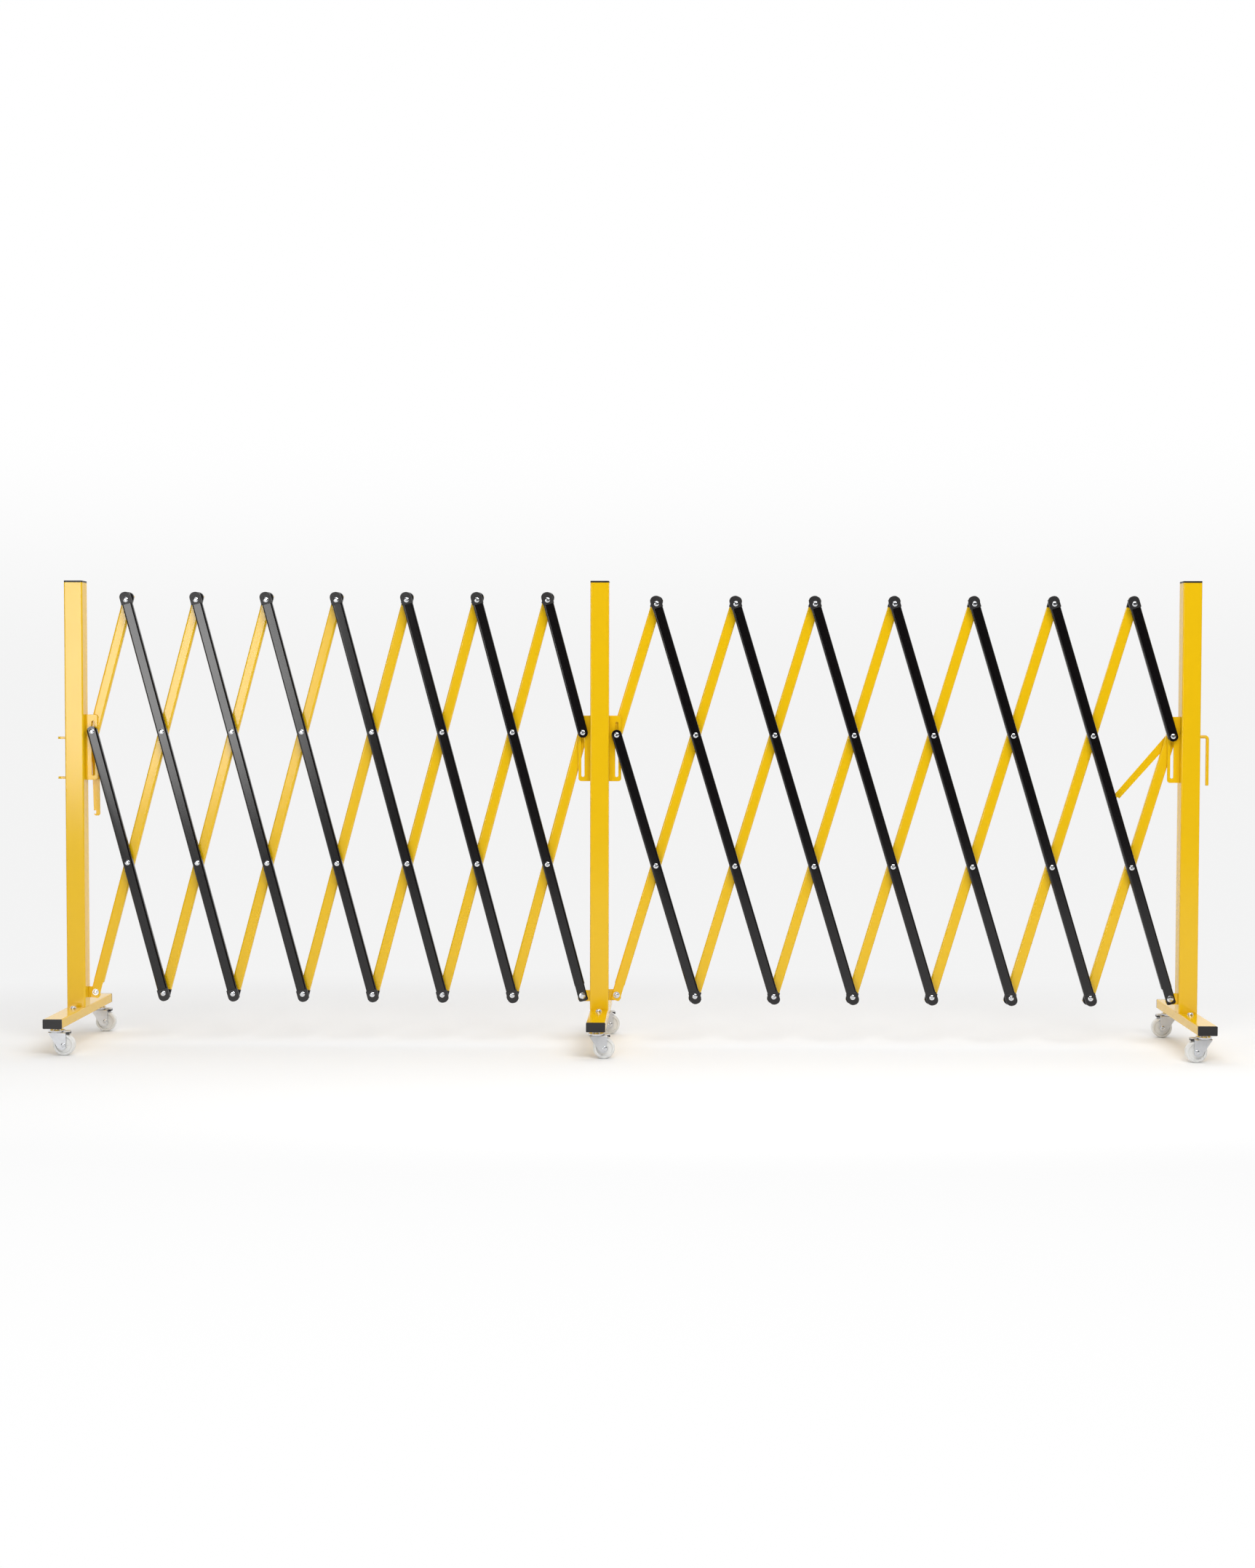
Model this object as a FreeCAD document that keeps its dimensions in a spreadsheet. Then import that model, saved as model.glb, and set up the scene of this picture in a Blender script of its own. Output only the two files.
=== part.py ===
# An expandable safety barrier: two riveted scissor panels between three posts on castors.
# X runs along the barrier, Y to its back and Z up. The origin is on the floor, under its middle.
import FreeCAD, Part
import Sketcher
import math
import os
import re

# Driving sizes in millimetres and degrees, with what each one measures
SIZES = {
    "post_width": (40, "side of the square post tube"),
    "post_length": (916, "length of the post tube"),
    "post_wall": (2, "wall of the post tube"),
    "post_corner": (2, "chamfer along the post tube's corners"),
    "foot_width": (40, "width of the foot tube"),
    "foot_height": (20, "height of the foot tube"),
    "foot_length": (400, "length of the foot tube, front to back"),
    "foot_wall": (2, "wall of the foot tube"),
    "plug_flange": (4, "height of the post plug above the tube"),
    "foot_plug_flange": (3, "thickness of the foot plug outside the tube"),
    "plug_depth": (14, "how far the plugs reach into their tubes"),
    "plug_clearance": (0.2, "gap between a plug and the inside of its tube"),
    "base_bolt_diameter": (12, "foot of the dome bolt at the post's base"),
    "base_bolt_height": (4, "height of the dome bolt"),
    "base_bolt_gap": (16, "gap between the dome bolt and the post's front"),
    "castor_height": (60, "floor to the underside of the foot"),
    "castor_inset": (32.5, "foot's end to the swivel axis of its castor"),
    "castor_trail": (16, "distance from the swivel axis to the axle"),
    "wheel_diameter": (45, "castor wheel"),
    "wheel_width": (17, "castor wheel along its axle"),
    "axle_diameter": (8, "castor axle"),
    "axle_end": (1.5, "axle beyond each fork leg"),
    "spindle_diameter": (10, "swivel spindle of a castor"),
    "spindle_head": (15, "head of the swivel spindle"),
    "spindle_head_height": (2, "height of the spindle's head"),
    "spindle_stub": (6, "how far the spindle stands up inside the foot"),
    "neck_gap": (3, "gap between the foot and the castor's race"),
    "race_diameter": (34, "ball race on top of the fork"),
    "race_height": (5.5, "height of the ball race"),
    "fork_sheet": (2.5, "sheet thickness of the fork"),
    "fork_gap": (1, "gap between the wheel and each fork leg"),
    "fork_front": (13, "fork top ahead of the swivel axis"),
    "fork_back": (20, "fork top behind the swivel axis"),
    "fork_boss": (8, "fork leg below the axle"),
    "left_castor_turn": (0, "direction that the left castors trail in"),
    "middle_castor_turn": (10, "direction that the middle castors trail in"),
    "right_castor_turn": (180, "direction that the right castors trail in"),
    "link_pitch": (293, "distance between pivots along a bar"),
    "left_opening": (14.95, "lean of the left panel's bars from upright"),
    "right_opening": (16.77, "lean of the right panel's bars from upright"),
    "min_opening": (2.45, "lean of the bars when a panel is folded"),
    "max_opening": (36, "lean of the bars when a panel is fully open"),
    "base_gap": (30, "height of the lowest pivots above the foot"),
    "pivot_reach": (16.4, "distance from a post's side to its pivots"),
    "bar_width": (22, "width of a lattice bar's web"),
    "bar_depth": (10, "depth of a lattice bar's channel"),
    "bar_wall": (1.5, "sheet thickness of a lattice bar"),
    "bar_edge": (1.75, "chamfer along a bar's long edges"),
    "bar_tip": (12, "bar beyond its last pivot, at a cap or tab"),
    "bar_gap": (6, "gap between the black and the yellow bars"),
    "flange_trim": (24, "flanges cut back from a tab pivot"),
    "tab_end_corner": (4, "clipped corners of a bar's end at a tab"),
    "cap_length": (5, "end cap beyond the bar"),
    "cap_width": (24, "end cap across the bar"),
    "cap_front": (1, "end cap in front of the web"),
    "cap_depth": (6.5, "end cap behind the web's front"),
    "cap_corner": (4, "chamfer on an end cap's corners"),
    "rivet_diameter": (6, "rivets and slot pins"),
    "rivet_head": (11, "head of a rivet or slot pin"),
    "rivet_head_height": (2.2, "height of a rivet's head"),
    "rivet_tail": (2, "rivet beyond the yellow bar's web"),
    "bolt_diameter": (8, "bolts in the bottom tabs"),
    "bolt_head": (14, "head and nut of a tab bolt"),
    "bolt_head_height": (4, "height of a tab bolt's head and nut"),
    "pin_clearance": (0.08, "radial clearance of a pin in its hole"),
    "plate_reach": (26, "slot plates and tabs out from the post"),
    "plate_thickness": (4, "slot plates and tabs"),
    "plate_corner": (5, "clipped corners of slot plates and tabs"),
    "plate_foot": (12.6, "slot plate below the lowest pin centre"),
    "plate_head": (17.1, "slot plate above the highest pin centre"),
    "slot_clearance": (0.3, "gap on each side of a pin in its slot"),
    "tab_height": (24, "height of a bottom tab"),
    "tab_gap": (0.3, "gap between a tab and the web in front of it"),
    "latch_width": (17, "latch at its pivot"),
    "latch_tip_width": (13.5, "latch at its free end"),
    "latch_thickness": (3, "sheet thickness of the latch"),
    "latch_gap": (0.5, "gap between the latch and the bar or the pin's head"),
    "latch_nose": (4, "latch beyond its notch"),
    "latch_corner": (3, "clipped corners of the latch's ends"),
    "latch_notch_depth": (5, "depth of the latch's notch"),
    "latch_notch_clearance": (0.6, "gap on each side of a hooked pin"),
    "left_latch_swing": (1, "left latch at rest, from hanging straight"),
    "right_latch_swing": (41, "right latch at rest, from hanging straight"),
    "rod_diameter": (7, "rod of the coupling hook"),
    "hook_rise": (590, "coupling hook above the foot"),
    "hook_reach": (18.5, "post's side to the middle of the hanging rod"),
    "hook_bend": (5.5, "bend radius of the rod's middle line"),
    "hook_drop": (104, "hook's straight end below its top run"),
    "eye_reach": (12, "post's side to the middle of an eye"),
    "eye_radius": (8, "half the width of an eye"),
    "eye_corner": (4, "clipped corners of an eye"),
    "eye_thickness": (5, "thickness of an eye"),
    "eye_clearance": (0.5, "radial gap of a rod in an eye"),
    "eye_spacing": (86, "distance between the two eyes"),
}

# A panel is this many half pitches wide, and its bars cross at four levels
COLUMNS = 14
TOP_LEVEL = 3
SLOT_LEVEL = 2
SIDES_OF_PIN = 8
SIDES_OF_RACE = 16
SIDES_OF_WHEEL = 32

# Places and sizes that follow from the driving ones
PLACES = {
    "foot_top": "castor_height + foot_height",
    "post_top": "foot_top + post_length",
    "half_post": "post_width / 2",
    "base_level": "foot_top + base_gap",
    "castor_reach": "foot_length / 2 - castor_inset",
    "pivot_offset": "half_post + pivot_reach",
    "left_step": "link_pitch * sin(left_opening)",
    "left_rise": "link_pitch * cos(left_opening)",
    "right_step": "link_pitch * sin(right_opening)",
    "right_rise": "link_pitch * cos(right_opening)",
    "left_span": f"{COLUMNS} * left_step + 2 * pivot_offset",
    "right_span": f"{COLUMNS} * right_step + 2 * pivot_offset",
    "left_extent": "left_span + half_post + eye_reach + eye_radius",
    "right_extent": "right_span + half_post + hook_reach + rod_diameter / 2",
    "middle_x": "(left_extent - right_extent) / 2",
    "left_x": "middle_x - left_span",
    "right_x": "middle_x + right_span",
    "left_start": "left_x + pivot_offset",
    "right_start": "middle_x + pivot_offset",
    "black_front": "-bar_gap / 2 - bar_depth",
    "yellow_front": "bar_gap / 2",
    "slot_low": f"base_level + {SLOT_LEVEL} * link_pitch * cos(max_opening)",
    "slot_high": f"base_level + {SLOT_LEVEL} * link_pitch * cos(min_opening)",
    "slot_width": "rivet_diameter + 2 * slot_clearance",
    "slot_clip": f"slot_width / 2 * tan({180 / SIDES_OF_PIN})",
    "pin_hole": f"(rivet_diameter / 2 + pin_clearance) / cos({180 / SIDES_OF_PIN})",
    "bolt_hole": f"(bolt_diameter / 2 + pin_clearance) / cos({180 / SIDES_OF_PIN})",
    "axle_hole": f"(axle_diameter / 2 + pin_clearance) / cos({180 / SIDES_OF_PIN})",
    "spindle_hole": f"(spindle_diameter / 2 + pin_clearance) / cos({180 / SIDES_OF_PIN})",
    "rivet_length": "bar_depth + bar_gap + bar_wall + rivet_tail",
    "latch_front": "2 * bar_depth + bar_gap + latch_gap",
    "slot_pin_length": "latch_front + latch_thickness + latch_gap",
    "tab_front": "bar_wall + tab_gap",
    "axle_drop": "castor_height - wheel_diameter / 2",
    "race_foot": "neck_gap + race_height",
    "fork_inside": "wheel_width + 2 * fork_gap",
    "fork_outside": "fork_inside + 2 * fork_sheet",
    "folded_gap": f"{COLUMNS} * link_pitch * sin(min_opening)",
    "hook_level": "foot_top + hook_rise",
    "eye_level": "hook_level - hook_bend - eye_thickness",
}

ALONG = FreeCAD.Vector(1, 0, 0)
BACK = FreeCAD.Vector(0, 1, 0)
FRONT = FreeCAD.Vector(0, -1, 0)
UP = FreeCAD.Vector(0, 0, 1)
ORIGIN = FreeCAD.Vector()
START_INDEX = 1
END_INDEX = 2
CENTRE_INDEX = 3
ORIGIN_INDEX = -1

doc = FreeCAD.newDocument("expandable_barrier")
sheet = doc.addObject("Spreadsheet::Sheet", "sizes")
for row, (alias, (number, note)) in enumerate(SIZES.items(), start=1):
    sheet.set(f"A{row}", note)
    sheet.set(f"B{row}", str(number))
    sheet.setAlias(f"B{row}", alias)
doc.recompute()


def spell(text):
    """Write an expression out in cells of the sheet."""

    def word(match):
        name = match.group()
        if name in PLACES:
            return f"({spell(PLACES[name])})"
        return f"sizes.{name}" if name in SIZES else name

    return re.sub(r"[a-z]\w*", word, text)


def bind(thing, **rules):
    """Tie properties of an object to expressions."""
    for name, text in rules.items():
        thing.setExpression(name, spell(text))


def place(thing, x="0", y="0", z="0", axis=None, angle="0"):
    """Put an object at a place that follows the sizes, turned about one axis."""
    rotation = FreeCAD.Rotation(axis, 1) if axis else FreeCAD.Rotation()
    thing.Placement = FreeCAD.Placement(ORIGIN, rotation)
    for name, text in (("x", x), ("y", y), ("z", z)):
        thing.setExpression(f"Placement.Base.{name}", spell(text))
    if axis:
        thing.setExpression("Placement.Rotation.Angle", spell(angle))
    return thing


def new_body(name):
    return doc.addObject("PartDesign::Body", name)


def sketch_on(body, role, name, lift="0"):
    """Start a sketch on one of a body's own planes, lifted along the plane's normal."""
    sketch = body.newObject("Sketcher::SketchObject", name)
    plane = next(item for item in body.Origin.OriginFeatures if item.Role == role)
    sketch.AttachmentSupport = [(plane, "")]
    sketch.MapMode = "FlatFace"
    sketch.setExpression("AttachmentOffset.Base.z", spell(lift))
    return sketch


def fix_point(sketch, line, end, start, across, up):
    """Dimension a point of a sketch from the sketch's origin."""
    for kind, first_guess, text in (("DistanceX", start.x, across), ("DistanceY", start.y, up)):
        rule = Sketcher.Constraint(kind, ORIGIN_INDEX, START_INDEX, line, end, first_guess)
        sketch.setExpression(f"Constraints[{sketch.addConstraint(rule)}]", spell(text))


def outline(sketch, corners, closed=True):
    """Draw lines through corners given as pairs of expressions."""
    first = sketch.GeometryCount
    count = len(corners)
    turns = [2 * math.pi * number / count for number in range(count)]
    ring = [FreeCAD.Vector(math.cos(turn), math.sin(turn), 0) for turn in turns]
    lines = count if closed else count - 1
    for number in range(lines):
        sketch.addGeometry(Part.LineSegment(ring[number], ring[(number + 1) % count]), False)
    for number in range(count if closed else lines - 1):
        following = first + (number + 1) % count
        joined = Sketcher.Constraint("Coincident", first + number, END_INDEX, following, START_INDEX)
        sketch.addConstraint(joined)
    for number, (across, up) in enumerate(corners[:lines]):
        fix_point(sketch, first + number, START_INDEX, ring[number], across, up)
    if not closed:
        fix_point(sketch, first + lines - 1, END_INDEX, ring[lines], *corners[lines])


def rectangle(sketch, left, low, right, high):
    outline(sketch, [(left, low), (right, low), (right, high), (left, high)])


def clipped_rectangle(sketch, left, low, right, high, corner):
    outline(sketch, [
        (f"{left} + {corner}", low),
        (f"{right} - {corner}", low),
        (right, f"{low} + {corner}"),
        (right, f"{high} - {corner}"),
        (f"{right} - {corner}", high),
        (f"{left} + {corner}", high),
        (left, f"{high} - {corner}"),
        (left, f"{low} + {corner}"),
    ])


def plate_outline(sketch, near, far, low, high, corner):
    """A plate that stands out from a post, with its two far corners clipped."""
    outline(sketch, [
        (near, low),
        (f"{far} - {corner}", low),
        (far, f"{low} + {corner}"),
        (far, f"{high} - {corner}"),
        (f"{far} - {corner}", high),
        (near, high),
    ])


def many_sided(sketch, across, up, radius, sides=SIDES_OF_PIN, first_turn=0):
    """Draw a round hole or disc with few sides, its corners at a radius."""
    turns = [first_turn + 360 / sides * number for number in range(sides)]
    outline(sketch, [
        (f"{across} + {radius} * cos({turn})", f"{up} + {radius} * sin({turn})") for turn in turns
    ])


def circle(sketch, across, up, radius):
    number = sketch.addGeometry(Part.Circle(ORIGIN, UP, 1), False)
    fix_point(sketch, number, CENTRE_INDEX, ORIGIN, across, up)
    rule = sketch.addConstraint(Sketcher.Constraint("Radius", number, 1.0))
    sketch.setExpression(f"Constraints[{rule}]", spell(radius))


def pad(body, sketch, length, side="One side", turned=False):
    """Raise a sketch into a solid."""
    feature = body.newObject("PartDesign::Pad", sketch.Name + "_pad")
    feature.Profile = sketch
    feature.SideType = side
    feature.Reversed = turned
    bind(feature, Length=length)
    doc.recompute()
    return feature


def pocket(body, sketch, length=None, side="Symmetric", turned=False):
    """Cut a sketch out of a body, right through unless a length is given."""
    before = body.Shape.Volume
    feature = body.newObject("PartDesign::Pocket", sketch.Name + "_cut")
    feature.Profile = sketch
    feature.SideType = side
    feature.Reversed = turned
    if length is None:
        feature.Type = "ThroughAll"
    else:
        bind(feature, Length=length)
    doc.recompute()
    if body.Shape.Volume >= before:
        raise RuntimeError(f"{feature.Name} cut nothing")
    return feature


def copy_of(thing, name, **where):
    """Repeat an object at another place."""
    link = doc.addObject("App::Link", name)
    link.LinkedObject = thing
    return place(link, **where)


def fused(name, pieces):
    join = doc.addObject("Part::MultiFuse", name)
    join.Shapes = pieces
    return join


def pin_along_back(name, radius, low, high):
    """An eight-sided pin that runs from front to back."""
    pin = doc.addObject("Part::Prism", name)
    pin.Polygon = SIDES_OF_PIN
    bind(pin, Circumradius=radius, Height=f"({high}) - ({low})")
    return place(pin, y=low, axis=ALONG, angle="-90")


nodes = {}


def node(label, pieces, **where):
    """One sub-part: its solids, where they stand, under the name of its file."""
    group = doc.addObject("Part::Compound", label)
    group.Label = label
    group.Links = pieces
    nodes[label] = place(group, **where)


def welded_node(label, pieces, **where):
    """One sub-part whose pieces are welded into a single solid."""
    nodes[label] = place(fused(label, pieces), **where)
    nodes[label].Label = label


# Posts: a square tube with slot plates and bottom tabs welded to its sides
def make_post_tube():
    body = new_body("post_tube")
    section = sketch_on(body, "XY_Plane", "post_section", "foot_top")
    clipped_rectangle(section, "-half_post", "-half_post", "half_post", "half_post", "post_corner")
    bore = "half_post - post_wall"
    rectangle(section, f"-({bore})", f"-({bore})", bore, bore)
    pad(body, section, "post_length")
    return body


def make_slot_plate():
    body = new_body("slot_plate")
    face = sketch_on(body, "XZ_Plane", "slot_plate_face")
    plate_outline(
        face, "half_post", "half_post + plate_reach",
        "slot_low - plate_foot", "slot_high + plate_head", "plate_corner",
    )
    side = "slot_width / 2"
    outline(face, [
        (f"pivot_offset - {side}", "slot_low - slot_clip"),
        ("pivot_offset - slot_clip", f"slot_low - {side}"),
        ("pivot_offset + slot_clip", f"slot_low - {side}"),
        (f"pivot_offset + {side}", "slot_low - slot_clip"),
        (f"pivot_offset + {side}", "slot_high + slot_clip"),
        ("pivot_offset + slot_clip", f"slot_high + {side}"),
        ("pivot_offset - slot_clip", f"slot_high + {side}"),
        (f"pivot_offset - {side}", "slot_high + slot_clip"),
    ])
    pad(body, face, "plate_thickness", "Symmetric")
    return body


def make_tab():
    body = new_body("tab")
    face = sketch_on(body, "XZ_Plane", "tab_face")
    plate_outline(
        face, "half_post", "half_post + plate_reach",
        "base_level - tab_height / 2", "base_level + tab_height / 2", "plate_corner",
    )
    many_sided(face, "pivot_offset", "base_level", "bolt_hole")
    pad(body, face, "plate_thickness", turned=True)
    return body


# Couplings: a bent rod on the right post drops into two eyes on the next barrier's left post
def make_hook():
    """A rod out of the post's side, bent down."""
    body = new_body("hook")
    path = sketch_on(body, "XZ_Plane", "hook_path")
    bend_start = ("half_post + hook_reach - hook_bend", "hook_level")
    bend_end = ("half_post + hook_reach", "hook_level - hook_bend")
    outline(path, [("half_post", "hook_level"), bend_start], closed=False)
    outline(path, [bend_end, ("half_post + hook_reach", "hook_level - hook_drop")], closed=False)
    run, drop = range(path.GeometryCount)
    bend = path.addGeometry(Part.ArcOfCircle(Part.Circle(ORIGIN, UP, 1), 0, math.pi / 2), False)
    path.addConstraint(Sketcher.Constraint("Coincident", run, END_INDEX, bend, END_INDEX))
    path.addConstraint(Sketcher.Constraint("Coincident", drop, START_INDEX, bend, START_INDEX))
    rule = path.addConstraint(Sketcher.Constraint("Radius", bend, 1.0))
    path.setExpression(f"Constraints[{rule}]", spell("hook_bend"))
    section = sketch_on(body, "YZ_Plane", "hook_section", "half_post")
    circle(section, "0", "hook_level", "rod_diameter / 2")
    rod = body.newObject("PartDesign::AdditivePipe", "hook_rod")
    rod.Profile = section
    rod.Spine = (path, [])
    doc.recompute()
    return body


def make_eye():
    """An eye out of the post's left side, with an upright hole for the next barrier's rod."""
    body = new_body("eye")
    face = sketch_on(body, "XY_Plane", "eye_face", "eye_level")
    middle = "-(half_post + eye_reach)"
    end = f"{middle} - eye_radius"
    outline(face, [
        ("-half_post", "-eye_radius"),
        ("-half_post", "eye_radius"),
        (f"{end} + eye_corner", "eye_radius"),
        (end, "eye_radius - eye_corner"),
        (end, "-eye_radius + eye_corner"),
        (f"{end} + eye_corner", "-eye_radius"),
    ])
    circle(face, middle, "0", "rod_diameter / 2 + eye_clearance")
    pad(body, face, "eye_thickness")
    return body


def make_posts():
    tube = make_post_tube()
    plate = make_slot_plate()
    tab = make_tab()
    other_plate = copy_of(plate, "slot_plate_turned", axis=UP, angle="180")
    yellow_tab = copy_of(tab, "yellow_tab", y="yellow_front + tab_front")
    black_tab = copy_of(
        tab, "black_tab", y="black_front + tab_front + plate_thickness", axis=UP, angle="180"
    )
    eye = make_eye()
    lower_eye = copy_of(eye, "lower_eye", z="-eye_spacing")
    welded_node("left_post", [tube, plate, yellow_tab, eye, lower_eye], x="left_x")
    welded_node("middle_post", [tube, plate, other_plate, yellow_tab, black_tab], x="middle_x")
    welded_node("right_post", [tube, other_plate, black_tab, make_hook()], x="right_x")


# Feet: a flat tube across each post, with the castor spindles and a dome bolt
def make_foot():
    body = new_body("foot_tube")
    section = sketch_on(body, "XZ_Plane", "foot_section")
    rectangle(section, "-foot_width / 2", "castor_height", "foot_width / 2", "foot_top")
    inside = "foot_width / 2 - foot_wall"
    rectangle(section, f"-({inside})", "castor_height + foot_wall", inside, "foot_top - foot_wall")
    pad(body, section, "foot_length", "Symmetric")
    holes = sketch_on(body, "XY_Plane", "spindle_holes", "castor_height")
    many_sided(holes, "0", "-castor_reach", "spindle_hole")
    many_sided(holes, "0", "castor_reach", "spindle_hole")
    pocket(body, holes, "foot_wall", "One side", turned=True)
    return body


def make_spindle():
    """A castor's spindle, in the castor's own frame: the foot's underside is at zero."""
    shank = doc.addObject("Part::Prism", "spindle_shank")
    shank.Polygon = SIDES_OF_PIN
    bottom = "race_foot + fork_sheet + pin_clearance"
    bind(shank, Circumradius="spindle_diameter / 2", Height=f"{bottom} + foot_wall + spindle_stub")
    place(shank, z=f"-({bottom})")
    head = doc.addObject("Part::Prism", "spindle_foot")
    head.Polygon = SIDES_OF_PIN
    bind(head, Circumradius="spindle_head / 2", Height="spindle_head_height")
    place(head, z=f"-({bottom} + spindle_head_height)")
    return fused("spindle", [shank, head])


def make_base_bolt():
    bolt = doc.addObject("Part::Prism", "base_bolt")
    bolt.Polygon = SIDES_OF_PIN
    bind(bolt, Circumradius="base_bolt_diameter / 2", Height="base_bolt_height")
    return place(bolt, y="-(half_post + base_bolt_gap + base_bolt_diameter / 2)", z="foot_top")


def make_feet():
    tube = make_foot()
    bolt = make_base_bolt()
    spindle = make_spindle()
    front = copy_of(spindle, "front_spindle", y="-castor_reach", z="castor_height")
    rear = copy_of(spindle, "rear_spindle", y="castor_reach", z="castor_height")
    for side in ("left", "middle", "right"):
        node(f"{side}_foot", [tube, front, rear, bolt], x=f"{side}_x")


# Plugs in the open ends of the posts and feet
def make_post_plug():
    body = new_body("post_plug")
    flange = sketch_on(body, "XY_Plane", "post_plug_flange", "post_top")
    clipped_rectangle(flange, "-half_post", "-half_post", "half_post", "half_post", "post_corner")
    pad(body, flange, "plug_flange")
    tongue = sketch_on(body, "XY_Plane", "post_plug_tongue", "post_top")
    inside = "half_post - post_wall - plug_clearance"
    rectangle(tongue, f"-({inside})", f"-({inside})", inside, inside)
    pad(body, tongue, "plug_depth", turned=True)
    return body


def make_foot_plug():
    body = new_body("foot_plug")
    flange = sketch_on(body, "XZ_Plane", "foot_plug_face", "foot_length / 2")
    rectangle(flange, "-foot_width / 2", "castor_height", "foot_width / 2", "foot_top")
    pad(body, flange, "foot_plug_flange")
    tongue = sketch_on(body, "XZ_Plane", "foot_plug_tongue", "foot_length / 2")
    across = "foot_width / 2 - foot_wall - plug_clearance"
    low = "castor_height + foot_wall + plug_clearance"
    rectangle(tongue, f"-({across})", low, across, "foot_top - foot_wall - plug_clearance")
    pad(body, tongue, "plug_depth", turned=True)
    return body


def make_plugs():
    top = make_post_plug()
    front = make_foot_plug()
    rear = copy_of(front, "rear_foot_plug", axis=UP, angle="180")
    for side in ("left", "middle", "right"):
        node(f"{side}_plugs", [top, front, rear], x=f"{side}_x")


# Castors, in their own frame: the swivel axis is upright, and the wheel trails along X
def make_fork():
    body = new_body("fork")
    face = sketch_on(body, "XZ_Plane", "fork_side")
    outline(face, [
        ("-fork_front", "-race_foot"),
        ("fork_back", "-race_foot"),
        ("castor_trail + fork_boss", "-axle_drop"),
        ("castor_trail + fork_boss / 2", "-axle_drop - fork_boss"),
        ("castor_trail - fork_boss / 2", "-axle_drop - fork_boss"),
        ("castor_trail - fork_boss", "-axle_drop"),
    ])
    pad(body, face, "fork_outside", "Symmetric")
    race = sketch_on(body, "XY_Plane", "race", "-race_foot")
    many_sided(race, "0", "0", "race_diameter / 2", SIDES_OF_RACE)
    pad(body, race, "race_height")
    throat = sketch_on(body, "XZ_Plane", "fork_throat")
    rectangle(
        throat, "-fork_front - wheel_diameter", "-castor_height",
        "fork_back + wheel_diameter", "-race_foot - fork_sheet",
    )
    pocket(body, throat, "fork_inside")
    bore = sketch_on(body, "XY_Plane", "spindle_bore", "-neck_gap")
    many_sided(bore, "0", "0", "spindle_hole")
    pocket(body, bore)
    holes = sketch_on(body, "XZ_Plane", "axle_holes")
    many_sided(holes, "castor_trail", "-axle_drop", "axle_hole")
    pocket(body, holes)
    return body


def make_axle():
    reach = "(fork_outside / 2 + axle_end)"
    axle = pin_along_back("axle", "axle_diameter / 2", f"-{reach}", reach)
    return place(axle, x="castor_trail", y=f"-{reach}", z="-axle_drop", axis=ALONG, angle="-90")


def make_wheel():
    """A wheel whose axle runs along Y, through its middle."""
    body = new_body("wheel")
    side = sketch_on(body, "XZ_Plane", "wheel_side")
    half_side = 180 / SIDES_OF_WHEEL
    tread = f"wheel_diameter / 2 / cos({half_side})"
    many_sided(side, "0", "0", tread, SIDES_OF_WHEEL, half_side)
    many_sided(side, "0", "0", "axle_hole")
    pad(body, side, "wheel_width", "Symmetric")
    return body


def make_castors():
    fork = make_fork()
    axle = make_axle()
    wheel = make_wheel()
    for side in ("left", "middle", "right"):
        for end, y in (("front", "-castor_reach"), ("rear", "castor_reach")):
            turn = f"{side}_castor_turn"
            node(
                f"{side}_{end}_fork", [fork, axle],
                x=f"{side}_x", y=y, z="castor_height", axis=UP, angle=turn,
            )
            node(
                f"{side}_{end}_wheel", [wheel],
                x=f"{side}_x + castor_trail * cos({turn})", y=f"{y} + castor_trail * sin({turn})",
                z="wheel_diameter / 2", axis=UP, angle=turn,
            )


# Lattice bars, in their own frame: the lowest pivot is at zero, the web's front face at zero depth
def make_bar(name, pivots, bottom, top, holes):
    """A pressed channel with pivot holes; each end is for a cap, a slot or a tab."""
    last = f"{pivots - 1} * link_pitch"
    spare = {"cap": "bar_tip", "tab": "bar_tip", "slot": "bar_width / 2"}
    body = new_body(name)
    section = sketch_on(body, "XY_Plane", f"{name}_section", f"-{spare[bottom]}")
    half = "bar_width / 2"
    inner = "bar_width / 2 - bar_wall"
    right = [
        (f"{half} - bar_edge", "0"),
        (half, "bar_edge"),
        (half, "bar_depth"),
        (inner, "bar_depth"),
        (inner, "bar_wall"),
    ]
    left = [(f"-({across})", deep) for across, deep in reversed(right)]
    outline(section, right + left)
    pad(body, section, f"{last} + {spare[bottom]} + {spare[top]}")
    if bottom == "tab":
        trim_tab_end(body, name)
    if holes:
        drilled = sketch_on(body, "XZ_Plane", f"{name}_holes")
        for number in holes:
            hole = "bolt_hole" if bottom == "tab" and number == 0 else "pin_hole"
            many_sided(drilled, "0", f"{number} * link_pitch", hole)
        pocket(body, drilled)
    if bottom == "slot":
        return round_slot_end(body, name, "0", last + " + bar_tip")
    if top == "slot":
        return round_slot_end(body, name, last, f"-({last} + bar_tip)")
    return body


def trim_tab_end(body, name):
    """Cut the flanges back, so that a tab can lie behind the web, and clip its corners."""
    relief = sketch_on(body, "XY_Plane", f"{name}_relief", "flange_trim")
    rectangle(relief, "-bar_width", "bar_wall", "bar_width", "2 * bar_depth")
    pocket(body, relief, "flange_trim + 2 * bar_tip", "One side")
    corners = sketch_on(body, "XZ_Plane", f"{name}_corners")
    for mirror in ("1", "-1"):
        side = f"{mirror} * bar_width / 2"
        outline(corners, [
            (side, "-bar_tip"),
            (side, "-bar_tip + tab_end_corner"),
            (f"{side} - {mirror} * tab_end_corner", "-bar_tip"),
        ])
    pocket(body, corners)


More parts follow.
